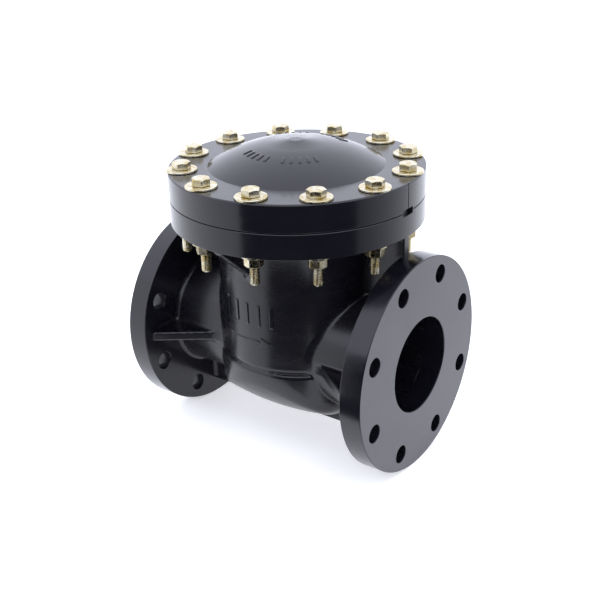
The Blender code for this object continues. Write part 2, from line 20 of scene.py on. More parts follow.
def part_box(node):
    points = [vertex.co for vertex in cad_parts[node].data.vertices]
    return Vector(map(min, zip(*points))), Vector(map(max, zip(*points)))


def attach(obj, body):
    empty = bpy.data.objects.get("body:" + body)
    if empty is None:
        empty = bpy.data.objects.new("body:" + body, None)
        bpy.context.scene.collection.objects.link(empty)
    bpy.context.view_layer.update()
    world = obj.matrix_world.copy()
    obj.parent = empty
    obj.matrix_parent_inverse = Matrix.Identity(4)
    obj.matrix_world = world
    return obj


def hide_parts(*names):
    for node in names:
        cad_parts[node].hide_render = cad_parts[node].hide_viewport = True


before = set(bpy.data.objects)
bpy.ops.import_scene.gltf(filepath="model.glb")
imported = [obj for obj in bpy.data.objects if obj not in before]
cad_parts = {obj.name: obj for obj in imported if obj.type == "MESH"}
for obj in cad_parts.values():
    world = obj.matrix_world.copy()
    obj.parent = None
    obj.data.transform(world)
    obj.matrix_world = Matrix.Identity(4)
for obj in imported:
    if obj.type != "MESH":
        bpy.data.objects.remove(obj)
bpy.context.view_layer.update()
LOG = logging.getLogger("check_valve")

MM = 0.001
AXIS_Z = 0.1143              # height of the port axis above the floor
FACE_X = 0.150               # half of the face-to-face length
JOINT_R = 0.1325             # outer radius of the bolted joint
BODY_FLANGE_LOW = AXIS_Z + 0.1356
JOINT_Z = AXIS_Z + 0.1616
COVER_TOP = AXIS_Z + 0.1906
CHAMBER_R = 0.075
BORE_R = 0.0505
THREAD_R = 0.0050
THREAD_GAP = 0.0002          # between a nut's bore and its thread
HEX_AF = 0.0170              # width across flats of every hexagon
PORT_AXIS = (0.0, 0.0, AXIS_Z)
COVER_AXIS = (0.0, 0.0, 0.0)

Array = np.ndarray


class Body(Enum):
    """Moving bodies of the valve."""

    SHELL = "shell"
    FLAP = "flap"


class Slot(Enum):
    """Material slots of the record."""

    PVC = "black_pvc"
    ZINC = "yellow_zinc"
    RUBBER = "epdm"
    STEEL = "stainless"


class Axis(Enum):
    """Axis that a turned surface goes round."""

    X = 1
    Y = 2
    Z = 0

    def place(self, across: Array, beside: Array, along: Array) -> Array:
        """Turn (across, beside, along) into x, y, z by a cyclic swap, which keeps the handedness."""
        order = {0: (across, beside, along), 1: (along, across, beside), 2: (beside, along, across)}
        return np.stack(np.broadcast_arrays(*order[self.value]), axis=-1)


# ------------------------------------------------------------------- surfaces
@dataclass
class Patch:
    """Part of a surface: its points, the quads that join them and their finish."""

    points: Array
    quads: Array
    finish: int = 0


def sheet(points: Array, wrap_rows: bool = False, wrap_columns: bool = False, finish: int = 0) -> Patch:
    """Join a grid of points with quads.

    Args:
        points: Grid of positions, rows by columns by 3.
        wrap_rows: Whether the last row joins the first.
        wrap_columns: Whether the last column joins the first.
        finish: Which of the piece's finishes the quads take.

    Returns:
        The joined surface.
    """
    rows, columns = points.shape[:2]
    index = np.arange(rows * columns).reshape(rows, columns)
    if wrap_rows:
        index = np.vstack([index, index[:1]])
    if wrap_columns:
        index = np.hstack([index, index[:, :1]])
    quads = np.stack([index[:-1, :-1], index[:-1, 1:], index[1:, 1:], index[1:, :-1]], axis=-1)
    return Patch(points.reshape(-1, 3), quads.reshape(-1, 4), finish)


def full_turn(steps: int) -> Array:
    """Evenly spaced angles over a full circle, in radians."""
    return np.arange(steps) * (2.0 * math.pi / steps)


def sweep(radius: Array, along: Array, turns: Array, axis: Axis, centre: Sequence[float],
          closed: bool = True) -> Patch:
    """Carry an outline round an axis: across = radius * cos(turn), beside = radius * sin(turn).

    Args:
        radius: Distance from the axis, outline points by turns or outline points by 1.
        along: Place along the axis, of the same shape as radius.
        turns: Angles in radians.
        axis: Axis that the outline goes round.
        centre: Point that the axis passes through.
        closed: Whether the outline's last point joins its first.

    Returns:
        The swept surface.
    """
    radius, along, turn = np.broadcast_arrays(radius, along, turns[None, :])
    points = axis.place(radius * np.cos(turn), radius * np.sin(turn), along)
    return sheet(points + np.asarray(centre, float), closed, True)


def rounded(corners: Sequence[tuple[float, float, float]], step_deg: float = 11.0) -> Array:
    """Round the corners of a closed outline with circular arcs.

    An arc of radius f touches both edges at f * tan(half the turn) from the corner.
    Short straight pieces beside each arc keep its shading off the flats.

    Args:
        corners: (radius, along, fillet) of each corner, in order.
        step_deg: Largest turn between two arc points.

    Returns:
        Outline points, as rows of (radius, along).
    """
    raw = np.array([corner[:2] for corner in corners], float)
    pieces = []
    for k, (_, _, fillet) in enumerate(corners):
        here = raw[k]
        back, ahead = raw[k - 1] - here, raw[(k + 1) % len(raw)] - here
        room = min(np.linalg.norm(back), np.linalg.norm(ahead)) * 0.45
        back, ahead = back / np.linalg.norm(back), ahead / np.linalg.norm(ahead)
        turn = math.pi - math.acos(float(np.clip(back @ ahead, -1.0, 1.0)))
        if fillet <= 0.0 or turn < 1e-3:
            pieces.append(here[None, :])
            continue
        touch = min(fillet * math.tan(turn / 2.0), room)
        reach = touch / math.sin(turn / 2.0)
        middle = (back + ahead) / np.linalg.norm(back + ahead)
        centre = here + middle * reach
        first, last = here + back * touch - centre, here + ahead * touch - centre
        share = np.linspace(0.0, 1.0, max(3, math.ceil(math.degrees(turn) / step_deg) + 1))[:, None]
        arc = centre + (np.sin((1.0 - share) * turn) * first + np.sin(share * turn) * last) / math.sin(turn)
        lead = min(0.35 * MM, room * 0.4)
        pieces += [(arc[0] + back * lead)[None, :], arc, (arc[-1] + ahead * lead)[None, :]]
    return np.vstack(pieces)


def turned(corners: Sequence[tuple[float, float, float]], steps: int, axis: Axis,
           centre: Sequence[float]) -> Patch:
    """Turn a closed outline with rounded corners about an axis."""
    outline = rounded(corners)
    return sweep(outline[:, :1], outline[:, 1:], full_turn(steps), axis, centre)


def smooth_step(value: Array, low: float, high: float) -> Array:
    """Ease from 0 at low to 1 at high: 3 t squared minus 2 t cubed."""
    share = np.clip((value - low) / (high - low), 0.0, 1.0)
    return share * share * (3.0 - 2.0 * share)


def hexagon_radius(turns: Array, phase: float) -> Array:
    """Distance to the side of a hexagon with worn corners.

    The 40-norm of the cosines to the three pairs of flats divides half the width:
    it is exact on the flats and takes about 0.2 mm off each corner.
    """
    axes = phase + math.pi / 6.0 + np.arange(3)[:, None] * (math.pi / 3.0)
    spread = np.sum(np.abs(np.cos(turns[None, :] - axes)) ** 40, axis=0) ** (1.0 / 40.0)
    return HEX_AF / 2.0 / spread


def hexagon_turns(phase: float) -> Array:
    """Angles round a hexagon, closer together near its six corners."""
    offsets = np.radians([-30.0, -22.0, -14.0, -8.0, -4.5, -2.6, -1.3, 0.0, 1.3, 2.6, 4.5, 8.0, 14.0, 22.0])
    return (phase + np.arange(6)[:, None] * (math.pi / 3.0) + offsets[None, :]).ravel()


# --------------------------------------------------------------------- pieces
def make_piece(name: str, patches: Sequence[Patch], finishes: Sequence[bpy.types.Material], body: Body,
               nodes: Sequence[str], sharp_deg: float = 42.0) -> bpy.types.Object:
    """Weld patches into one closed mesh, dress it and let it stand for CAD nodes.

    Args:
        name: Name of the piece.
        patches: Surfaces that meet edge to edge.
        finishes: Materials, in the order that the patches number them.
        body: Body that the piece moves with.
        nodes: CAD nodes that the piece stands for.
        sharp_deg: Edges that turn by more than this stay sharp.

    Returns:
        The finished object.
    """
    starts = np.cumsum([0] + [len(patch.points) for patch in patches[:-1]])
    points = np.vstack([patch.points for patch in patches])
    quads = np.vstack([patch.quads + start for patch, start in zip(patches, starts)])
    index = np.concatenate([np.full(len(patch.quads), patch.finish) for patch in patches])
    mesh = mesh_from(name, points, quads)
    mesh.polygons.foreach_set("material_index", index.astype(np.int32))
    solid = bmesh.new()
    solid.from_mesh(mesh)
    bmesh.ops.remove_doubles(solid, verts=solid.verts, dist=0.002 * MM)
    bmesh.ops.recalc_face_normals(solid, faces=solid.faces)
    solid.to_mesh(mesh)
    solid.free()
    mesh.shade_smooth()
    mesh.set_sharp_from_angle(angle=math.radians(sharp_deg))
    return settle(name, mesh, finishes, body, nodes)


def mesh_from(name: str, points: Array, quads: Array) -> bpy.types.Mesh:
    """Put arrays of points and quads into a new mesh."""
    mesh = bpy.data.meshes.new(name)
    mesh.vertices.add(len(points))
    mesh.vertices.foreach_set("co", np.ascontiguousarray(points, np.float32).ravel())
    mesh.loops.add(quads.size)
    mesh.loops.foreach_set("vertex_index", np.ascontiguousarray(quads, np.int32).ravel())
    mesh.polygons.add(len(quads))
    mesh.polygons.foreach_set("loop_start", np.arange(len(quads), dtype=np.int32) * 4)
    mesh.update(calc_edges=True)
    return mesh


def settle(name: str, mesh: bpy.types.Mesh, finishes: Sequence[bpy.types.Material], body: Body,
           nodes: Sequence[str]) -> bpy.types.Object:
    """Link a mesh as an object that rides a body and stands for CAD nodes.

    Args:
        name: Name of the object.
        mesh: Its finished mesh, with places in the row frame.
        finishes: Its materials.
        body: Body that it moves with.
        nodes: CAD nodes that it stands for.

    Returns:
        The linked object.
    """
    for finish in finishes:
        mesh.materials.append(finish)
    obj = bpy.data.objects.new(name, mesh)
    bpy.context.scene.collection.objects.link(obj)
    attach(obj, body.value)
    if nodes:
        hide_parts(*nodes)
    LOG.info("%-18s %7d faces, rides %s", name, len(mesh.polygons), body.value)
    return obj


def dress_node(node: str, finish: bpy.types.Material) -> None:
    """Give a CAD node that stays in view its finish."""
    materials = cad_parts[node].data.materials
    materials.clear()
    materials.append(finish)
    LOG.info("%-18s CAD node in %s", node, finish.name)


# ------------------------------------------------------------------- finishes
def linear(colour: str) -> tuple[float, float, float, float]:
    """Turn an sRGB hex colour into linear red, green, blue and alpha."""
    levels = [int(colour[k:k + 2], 16) / 255.0 for k in (1, 3, 5)]
    red, green, blue = [v / 12.92 if v <= 0.04045 else ((v + 0.055) / 1.055) ** 2.4 for v in levels]
    return red, green, blue, 1.0


def add_node(tree: bpy.types.NodeTree, kind: str, settings: dict[Any, Any] | None = None,
             links: dict[Any, bpy.types.NodeSocket] | None = None) -> bpy.types.Node:
    """Add a shader node.

    Args:
        tree: Node tree that takes it.
        kind: Blender's type name, without its ShaderNode prefix.
        settings: Properties, input names or input numbers, with their values.
        links: Input names or numbers, with the outputs that feed them.

    Returns:
        The new node.
    """
    node = tree.nodes.new("ShaderNode" + kind)
    for key, value in (settings or {}).items():
        if isinstance(key, str) and hasattr(node, key):
            setattr(node, key, value)
        else:
            node.inputs[key].default_value = value
    for key, source in (links or {}).items():
        tree.links.new(source, node.inputs[key])
    return node


def per_mm(size_mm: float) -> float:
    """Texture scale, in Object coordinates, of a pattern whose repeat is size_mm."""
    return 1.0 / (size_mm * MM)


@dataclass(frozen=True)
class Finish:
    """What every finish has: a name, a colour, a roughness and a way to be made."""

    name: str
    colour: str
    roughness: float
    metallic: float = 0.0
    ior: float = 1.5

    def start(self) -> tuple[bpy.types.Material, bpy.types.NodeTree, bpy.types.Node, bpy.types.NodeSocket]:
        """Make the material with its plain settings; returns it, its tree, shader and coordinates."""
        made = bpy.data.materials.new(self.name)
        made.use_nodes = True
        made.diffuse_color = linear(self.colour)
        tree = made.node_tree
        shader = tree.nodes["Principled BSDF"]
        shader.inputs["Metallic"].default_value = self.metallic
        shader.inputs["Roughness"].default_value = self.roughness
        shader.inputs["Base Color"].default_value = linear(self.colour)
        if not self.metallic:
            shader.inputs["IOR"].default_value = self.ior
        place = add_node(tree, "TexCoord").outputs["Object"]
        return made, tree, shader, place


def noise(tree: bpy.types.NodeTree, place: bpy.types.NodeSocket, size_mm: float, detail: float,
          **settings: float) -> bpy.types.NodeSocket:
    """Noise whose features are size_mm across, from 0 to 1."""
    return add_node(tree, "TexNoise", {"Scale": per_mm(size_mm), "Detail": detail, **settings},
                    {"Vector": place}).outputs["Fac"]


def remap(tree: bpy.types.NodeTree, value: bpy.types.NodeSocket, source: tuple[float, float],
          target: tuple[float, float]) -> bpy.types.NodeSocket:
    """Carry a value from one range to another, held at the ends."""
    return add_node(tree, "MapRange", {"From Min": source[0], "From Max": source[1], "To Min": target[0],
                                       "To Max": target[1]}, {"Value": value}).outputs["Result"]


def blend(tree: bpy.types.NodeTree, share: bpy.types.NodeSocket, first: str,
          second: str) -> bpy.types.NodeSocket:
    """Mix two sRGB hex colours by a share."""
    ends = {"data_type": "RGBA", 6: linear(first), 7: linear(second)}
    return add_node(tree, "Mix", ends, {0: share}).outputs[2]


def relief(tree: bpy.types.NodeTree, height: bpy.types.NodeSocket, strength: float, deep_mm: float,
           under: bpy.types.NodeSocket | None = None) -> bpy.types.NodeSocket:
    """Bump of a real depth, laid over another one if given."""
    links = {"Height": height} if under is None else {"Height": height, "Normal": under}
    return add_node(tree, "Bump", {"Strength": strength, "Distance": deep_mm * MM}, links).outputs["Normal"]


@dataclass(frozen=True)
class MouldedPvc(Finish):
    """Black pigmented PVC as it leaves a polished injection mould.

    Carbon black hides the resin, so the eye sees only a slightly soft mirror of the
    room: IOR 1.53, low roughness, a faint orange peel of about 9 mm and flow streaks.
    """

    name: str = "moulded_black_pvc"
    colour: str = "#0b0b10"
    bloom: str = "#101016"
    roughness: float = 0.15
    ior: float = 1.53
    peel_mm: float = 9.0
    grain_mm: float = 0.9
    handling_mm: float = 34.0

    def make(self) -> bpy.types.Material:
        """Build the node tree and return the material."""
        made, tree, shader, place = self.start()
        streaks = add_node(tree, "Mapping", {"Scale": (1.0, 1.0, 2.6)}, {"Vector": place})
        flow = noise(tree, streaks.outputs["Vector"], self.handling_mm, 4.0, Roughness=0.55)
        peel = noise(tree, place, self.peel_mm, 2.0)
        grain = noise(tree, place, self.grain_mm, 3.0)
        tree.links.new(blend(tree, flow, self.colour, self.bloom), shader.inputs["Base Color"])
        smear = remap(tree, flow, (0.35, 0.72), (self.roughness, self.roughness + 0.06))
        speck = remap(tree, grain, (0.3, 0.8), (-0.012, 0.03))
        rough = add_node(tree, "Math", {"operation": "ADD"}, {0: smear, 1: speck})
        tree.links.new(rough.outputs["Value"], shader.inputs["Roughness"])
        wave = relief(tree, peel, 0.25, 0.25)
        tree.links.new(relief(tree, grain, 0.10, 0.03, wave), shader.inputs["Normal"])
        return made


@dataclass(frozen=True)
class MachinedPvc(Finish):
    """Black PVC faced on a lathe.

    The cut whitens the skin to a satin mid grey with fine rings about the port axis.
    A real feed of about 0.2 mm is too fine to show, so the rings are 1.1 mm apart.
    """

    name: str = "machined_pvc_face"
    colour: str = "#302f31"
    pale: str = "#565558"
    roughness: float = 0.46
    ior: float = 1.53
    feed_mm: float = 1.1
    cloud_mm: float = 46.0
    fleck_mm: float = 1.6

    def make(self) -> bpy.types.Material:
        """Build the node tree and return the material."""
        made, tree, shader, place = self.start()
        centred = add_node(tree, "Mapping", {"Location": (0.0, 0.0, -AXIS_Z)}, {"Vector": place})
        parts = add_node(tree, "SeparateXYZ", None, {"Vector": centred.outputs["Vector"]})
        flat = add_node(tree, "CombineXYZ", None, {"X": parts.outputs["Y"], "Y": parts.outputs["Z"]})
        radius = add_node(tree, "VectorMath", {"operation": "LENGTH"}, {0: flat.outputs["Vector"]})
        phase = add_node(tree, "Math", {"operation": "MULTIPLY", 1: 2.0 * math.pi * per_mm(self.feed_mm)},
                         {0: radius.outputs["Value"]})
        rings = add_node(tree, "Math", {"operation": "SINE"}, {0: phase.outputs["Value"]})
        cloud = noise(tree, place, self.cloud_mm, 5.0, Roughness=0.6)
        fleck = noise(tree, place, self.fleck_mm, 4.0, Roughness=0.7)
        tone = add_node(tree, "Math", {"operation": "MULTIPLY_ADD", 1: 0.06},
                        {0: rings.outputs["Value"], 2: cloud})
        dust = add_node(tree, "Math", {"operation": "MULTIPLY_ADD", 1: 0.60, 2: -0.28}, {0: fleck})
        total = add_node(tree, "Math", {"operation": "ADD", "use_clamp": True},
                         {0: tone.outputs["Value"], 1: dust.outputs["Value"]}).outputs["Value"]
        tree.links.new(blend(tree, total, self.colour, self.pale), shader.inputs["Base Color"])
        rough = remap(tree, total, (0.3, 0.7), (self.roughness - 0.05, self.roughness + 0.07))
        tree.links.new(rough, shader.inputs["Roughness"])
        grooves = relief(tree, rings.outputs["Value"], 0.25, 0.02)
        tree.links.new(relief(tree, fleck, 0.3, 0.04, grooves), shader.inputs["Normal"])
        return made


@dataclass(frozen=True)
class YellowZinc(Finish):
    """Steel with zinc plating and yellow chromate.

    The chromate film turns from pale straw on open faces to gold and brown where it
    lies thicker, in soft clouds of a few millimetres, over a satin barrel-plated skin.
    """

    name: str = "yellow_zinc_plate"
    colour: str = "#d2cdb9"
    gold: str = "#b6a470"
    brown: str = "#766842"
    roughness: float = 0.23
    metallic: float = 1.0
    cloud_mm: float = 7.0
    tarnish_mm: float = 2.6
    skin_mm: float = 0.5

    def make(self) -> bpy.types.Material:
        """Build the node tree and return the material."""
        made, tree, shader, place = self.start()
        cloud = noise(tree, place, self.cloud_mm, 3.0, Distortion=0.6)
        tarnish = noise(tree, place, self.tarnish_mm, 4.0, Roughness=0.6)
        skin = noise(tree, place, self.skin_mm, 2.0)
        straw = blend(tree, remap(tree, cloud, (0.38, 0.68), (0.0, 1.0)), self.colour, self.gold)
        film = add_node(tree, "Mix", {"data_type": "RGBA", 7: linear(self.brown)},
                        {0: remap(tree, tarnish, (0.56, 0.80), (0.0, 0.55)), 6: straw})
        tree.links.new(film.outputs[2], shader.inputs["Base Color"])
        rough = remap(tree, tarnish, (0.3, 0.7), (self.roughness - 0.05, self.roughness + 0.12))
        tree.links.new(rough, shader.inputs["Roughness"])
        tree.links.new(relief(tree, skin, 0.3, 0.02), shader.inputs["Normal"])
        return made


@dataclass(frozen=True)
class EpdmRubber(Finish):
    """Compression-moulded EPDM: matt charcoal with a dusty bloom and a fine cloth-like grain."""

    name: str = "moulded_epdm_rubber"
    colour: str = "#151515"
    bloom: str = "#242422"
    roughness: float = 0.72
    ior: float = 1.52
    bloom_mm: float = 12.0
    grain_mm: float = 0.7

    def make(self) -> bpy.types.Material:
        """Build the node tree and return the material."""
        made, tree, shader, place = self.start()
        dusty = noise(tree, place, self.bloom_mm, 4.0)
        grain = noise(tree, place, self.grain_mm, 3.0)
        tree.links.new(blend(tree, dusty, self.colour, self.bloom), shader.inputs["Base Color"])
        rough = remap(tree, grain, (0.3, 0.7), (self.roughness - 0.08, self.roughness + 0.10))
        tree.links.new(rough, shader.inputs["Roughness"])
        tree.links.new(relief(tree, grain, 0.4, 0.04), shader.inputs["Normal"])
        return made


class SteelSurface(Enum):
    """How a stainless piece was made."""

    CAST = "cast"
    TURNED = "turned"


@dataclass(frozen=True)
class Stainless(Finish):
    """Stainless steel, investment cast and blasted, or turned on a lathe.

    A cast piece is matt with a sand-like tooth of about 0.8 mm; a turned one is bright
    with tool lines.  The lines' real 0.1 mm is too fine to show, so they are 0.4 mm.
    """

    name: str = "stainless"
    colour: str = "#8d8c88"
    pale: str = "#b3b2ad"
    roughness: float = 0.30
    metallic: float = 1.0
    surface: SteelSurface = SteelSurface.TURNED
    tooth_mm: float = 0.8
    line_mm: float = 0.4
    cloud_mm: float = 15.0

    def make(self) -> bpy.types.Material:
        """Build the node tree and return the material."""
        made, tree, shader, place = self.start()
        cast = self.surface is SteelSurface.CAST
        stretch = (1.0, 1.0, 1.0) if cast else (self.tooth_mm / self.line_mm, 0.12, 0.12)
        run = add_node(tree, "Mapping", {"Scale": stretch}, {"Vector": place})
        tooth = noise(tree, run.outputs["Vector"], self.tooth_mm, 4.0, Roughness=0.6)
        cloud = noise(tree, place, self.cloud_mm, 3.0)
        tree.links.new(blend(tree, cloud, self.colour, self.pale), shader.inputs["Base Color"])
        rough = remap(tree, tooth, (0.3, 0.7), (self.roughness - 0.06, self.roughness + 0.10))
        tree.links.new(rough, shader.inputs["Roughness"])
        strength, deep_mm = (0.5, 0.10) if cast else (0.25, 0.03)
        tree.links.new(relief(tree, tooth, strength, deep_mm), shader.inputs["Normal"])
        return made


@dataclass
class Finishes:
    """The materials of the valve, each made once."""

    moulded: bpy.types.Material
    satin: bpy.types.Material
    machined: bpy.types.Material
    zinc: bpy.types.Material
    rubber: bpy.types.Material
    cast: bpy.types.Material
    bright: bpy.types.Material

    @classmethod
    def make(cls) -> "Finishes":
        """Make every finish."""
        return cls(
            moulded=MouldedPvc().make(),
            satin=MouldedPvc(name="satin_black_pvc", roughness=0.23, peel_mm=12.0).make(),
            machined=MachinedPvc().make(), zinc=YellowZinc().make(), rubber=EpdmRubber().make(),
            cast=Stainless(name="cast_stainless", roughness=0.46, surface=SteelSurface.CAST).make(),
            bright=Stainless(name="turned_stainless", roughness=0.24).make())


# ------------------------------------------------------------------ body skin
def round_join(first: Array, second: Array, fillet: float) -> Array:
    """Union of two distance fields with a circular fillet of the given radius between them."""
    inner = np.hypot(np.maximum(fillet - first, 0.0), np.maximum(fillet - second, 0.0))
    return np.maximum(np.minimum(first, second), fillet) - inner


def round_meet(first: Array, second: Array, edge: float) -> Array:
    """Overlap of two distance fields with its edge rounded to the given radius."""
    outer = np.hypot(np.maximum(first + edge, 0.0), np.maximum(second + edge, 0.0))
    return np.minimum(np.maximum(first, second), -edge) + outer


def barrel_radius(z: Array) -> Array:
    """Radius of the barrel's wall, growing by 1.6 mm over 89 mm; z is measured from the port axis."""
    return 0.0842 + 0.0016 * np.clip((z + 0.004) / 0.089, 0.0, 1.0)


@dataclass
class BodySkin:
    """Barrel, bowl, necks, ribs and cavities of the body, without its three flanges.

    The skin is where a signed distance field is zero.  The field is worked out on a
    grid, each cell that the surface crosses gets one point at the mean of its edge
    crossings, and Newton steps along the gradient bring the points on to the surface.
    Heights are measured from the port axis.
    """

    finishes: Finishes
    cell: float = 0.00230
    low: tuple[float, float, float] = (-0.1335, -0.1330, -0.1005)
    high: tuple[float, float, float] = (0.1335, 0.1330, 0.1395)
    flare: float = 0.0122
    flare_from: float = 0.085
    flare_height: float = 0.0506
    barrel_low: float = -0.0185
    barrel_bottom_r: float = 0.013
    bowl_r: float = 0.0870
    bowl_top: float = -0.0115
    belly_r: float = 0.0836
    belly_width: float = 0.0885
    belly_end: float = 0.0785
    belly_corner: float = 0.020
    belly_bulge: float = 1.35
    bowl_edge: float = 0.006
    ledge_edge: float = 0.0035
    neck_r: float = 0.064
    chamber_low: float = -0.038
    chamber_corner: float = 0.022
    run_cavity_r: float = 0.0715
    run_cavity_end: float = 0.069
    run_cavity_corner: float = 0.016
    run_cavity_reach: float = 0.0755
    flange_back: float = 0.12665
    flange_under: float = 0.13575
    end_cut: float = 0.1282
    top_cut: float = 0.1374
    wall_fillet: float = 0.0040
    neck_root_r: float = 0.092
    neck_root_fillet: float = 0.0050
    top_root_r: float = 0.1300
    ledge_fillet: float = 0.0012
    rib_half: float = 0.0050
    gusset_half: float = 0.0040
    rib_edge: float = 0.0016
    rib_fillet: float = 0.0045
    seat_x: float = -0.050
    seat_tube_r: float = 0.0635
    bore_r: float = 0.0508
    pin: tuple[float, float] = (-0.040, 0.068)
    lug_r: float = 0.0095
    pin_hole_r: float = 0.0043
    pin_hole_reach: float = 0.040

    def barrel(self, x: Array, y: Array, z: Array) -> Array:
        """Upright barrel: nearly straight, flaring by 12 mm under the bolted flange."""
        flare = self.flare * np.clip((z - self.flare_from) / self.flare_height, 0.0, 1.0) ** 1.8
        radius = barrel_radius(z) + flare
        return round_meet(np.hypot(x, y) - radius, self.barrel_low - z, self.barrel_bottom_r)

    def bowl(self, x: Array, y: Array, z: Array) -> Array:
        """Lower part: a level cylinder whose radius drops with the square of x, trimmed upright.

        Its section is a little wider than it is deep, and it ends in a low ledge under
        the barrel.
        """
        section = np.hypot(y * self.belly_r / self.belly_width, z) - (self.belly_r - self.belly_bulge * x * x)
        swell = round_meet(section, np.abs(x) - self.belly_end, self.belly_corner)
        swell = round_meet(swell, np.hypot(x, y) - self.bowl_r, self.bowl_edge)
        return round_meet(swell, z - self.bowl_top, self.ledge_edge)

    def ribs(self, x: Array, y: Array, z: Array) -> Array:
        """Webs, side ribs, keel and gussets: thin plates with rounded edges."""
        across, beside = np.abs(x), np.abs(y)
        thin_y, thin_z = beside - self.rib_half, np.abs(z) - self.rib_half
        web = round_meet(thin_y, np.maximum(across - 0.1315, 0.040 - z), self.rib_edge)
        web = np.maximum(web, 0.040 - across)
        slant = (beside - 0.069 - 0.717 * (across - 0.075)) / 1.2305
        side = round_meet(thin_z, np.maximum(slant, beside - 0.1045), self.rib_edge)
        keel = np.maximum(round_meet(thin_y, -0.098 - z, self.rib_edge), z + 0.050)
        brace = round_meet(across - self.gusset_half,
                           np.maximum(0.6618 * beside - 0.7504 * z + 0.01347, beside - 0.130), self.rib_edge)
        brace = np.maximum(brace, 0.070 - beside)
        end = across - self.end_cut
        return np.minimum(np.minimum(np.maximum(np.minimum(side, keel), end), web), brace)

    def cavity(self, x: Array, y: Array, z: Array) -> Array:
        """Chamber and run cavity, less the seat tube that stands into them."""
        around = np.hypot(y, z)
        chamber = round_meet(np.hypot(x, y) - CHAMBER_R, self.chamber_low - z, self.chamber_corner)
        sides = np.maximum(x - self.run_cavity_end, self.seat_x - 0.001 - x)
        run = round_meet(around - self.run_cavity_r, sides, self.run_cavity_corner)
        run = round_meet(run, np.hypot(x, y) - self.run_cavity_reach, self.bowl_edge)
        seat = round_meet(around - self.seat_tube_r, x - self.seat_x, 0.0015)
        return np.maximum(np.minimum(chamber, run), -seat)

    def lugs(self, x: Array, y: Array, z: Array) -> Array:
        """Pair of lugs above the seat, each a foot with an eye round the pin."""
        eye = np.hypot(x - self.pin[0], z - self.pin[1]) - self.lug_r
        foot = np.maximum(np.maximum(x + 0.0305, -0.080 - x),
                          np.maximum(z - self.pin[1], 0.0657 + 0.2203 * x - z))
        return round_meet(np.minimum(eye, foot), np.abs(np.abs(y) - 0.025) - 0.004, 0.0008)

    def field(self, points: Array) -> Array:
        """Signed distance to the skin, negative in the plastic."""
        x, y, z = points[..., 0], points[..., 1], points[..., 2]
        around, upright = np.hypot(y, z), np.hypot(x, y)
        solid = round_join(self.barrel(x, y, z), around - self.neck_r, self.wall_fillet)
        solid = round_join(solid, self.bowl(x, y, z), self.ledge_fillet)
        neck_root = np.maximum(self.flange_back - np.abs(x), around - self.neck_root_r)
        solid = round_join(solid, neck_root, self.neck_root_fillet)
        top_root = np.maximum(self.flange_under - z, upright - self.top_root_r)
        solid = round_join(solid, top_root, self.wall_fillet)
        solid = np.maximum(solid, np.abs(x) - self.end_cut)
        solid = np.maximum(round_join(solid, self.ribs(x, y, z), self.rib_fillet), z - self.top_cut)
        solid = np.maximum(solid, -self.cavity(x, y, z))
        solid = np.minimum(solid, self.lugs(x, y, z))
        pin = np.hypot(x - self.pin[0], z - self.pin[1]) - self.pin_hole_r
        pin = np.maximum(pin, np.abs(y) - self.pin_hole_reach)
        return np.maximum(np.maximum(solid, self.bore_r - around), -pin)

    def gradient(self, points: Array) -> Array:
        """Slope of the field by central differences over 0.1 mm."""
        step = 0.05 * MM
        columns = []
        for k in range(3):
            offset = np.zeros(3)
            offset[k] = step
            columns.append((self.field(points + offset) - self.field(points - offset)) / (2.0 * step))
        return np.stack(columns, axis=-1)

    def net(self) -> tuple[Array, Array]:
        """Find the crossed cells and join their points with quads.

        Returns:
            Points and quads of the raw skin.
        """
        low = np.array(self.low)
        counts = np.ceil((np.array(self.high) - low) / self.cell).astype(int) + 1
        grids = np.meshgrid(*[low[k] + np.arange(counts[k]) * self.cell for k in range(3)], indexing="ij")
        value = self.field(np.stack(grids, axis=-1))
        nx, ny, nz = (int(n) - 1 for n in counts)
        corners = [(i, j, k) for i in (0, 1) for j in (0, 1) for k in (0, 1)]
        at = {c: value[c[0]:c[0] + nx, c[1]:c[1] + ny, c[2]:c[2] + nz] for c in corners}
        filled = sum((at[c] < 0.0).astype(np.int8) for c in corners)
        active = np.argwhere((filled > 0) & (filled < 8))
        number = np.full((nx, ny, nz), -1, np.int64)
        number[tuple(active.T)] = np.arange(len(active))
        total, crossings = np.zeros((len(active), 3)), np.zeros(len(active))
        picked = {c: at[c][tuple(active.T)] for c in corners}
        for first in corners:
            for k in range(3):
                if first[k] == 1:
                    continue
                second = tuple(1 if m == k else first[m] for m in range(3))
                a, b = picked[first], picked[second]
                crossed = (a < 0.0) != (b < 0.0)
                share = np.where(crossed, a / np.where(crossed, a - b, 1.0), 0.0)
                place = np.array(first, float) + share[:, None] * (np.arange(3) == k)
                total += np.where(crossed[:, None], place, 0.0)
                crossings += crossed
        points = low + (active + total / crossings[:, None]) * self.cell
        quads = []
        for k in range(3):
            u, v = (k + 1) % 3, (k + 2) % 3
            inside = value < 0.0
            lower = [slice(1, n) for n in (nx, ny, nz)]
            lower[k] = slice(0, (nx, ny, nz)[k])
            upper = list(lower)
            upper[k] = slice(1, (nx, ny, nz)[k] + 1)
            one, two = inside[tuple(lower)], inside[tuple(upper)]
            edges = np.argwhere(one != two)
            edges[:, u] += 1
            edges[:, v] += 1
            leaving = one[one != two]
            ring = []
            for du, dv in ((1, 1), (0, 1), (0, 0), (1, 0)):
                cell = edges.copy()
                cell[:, u] -= du
                cell[:, v] -= dv
                ring.append(number[tuple(cell.T)])
            quad = np.stack(ring, axis=-1)
            quad[~leaving] = quad[~leaving][:, ::-1]
            quads.append(quad)
        return points, np.vstack(quads)

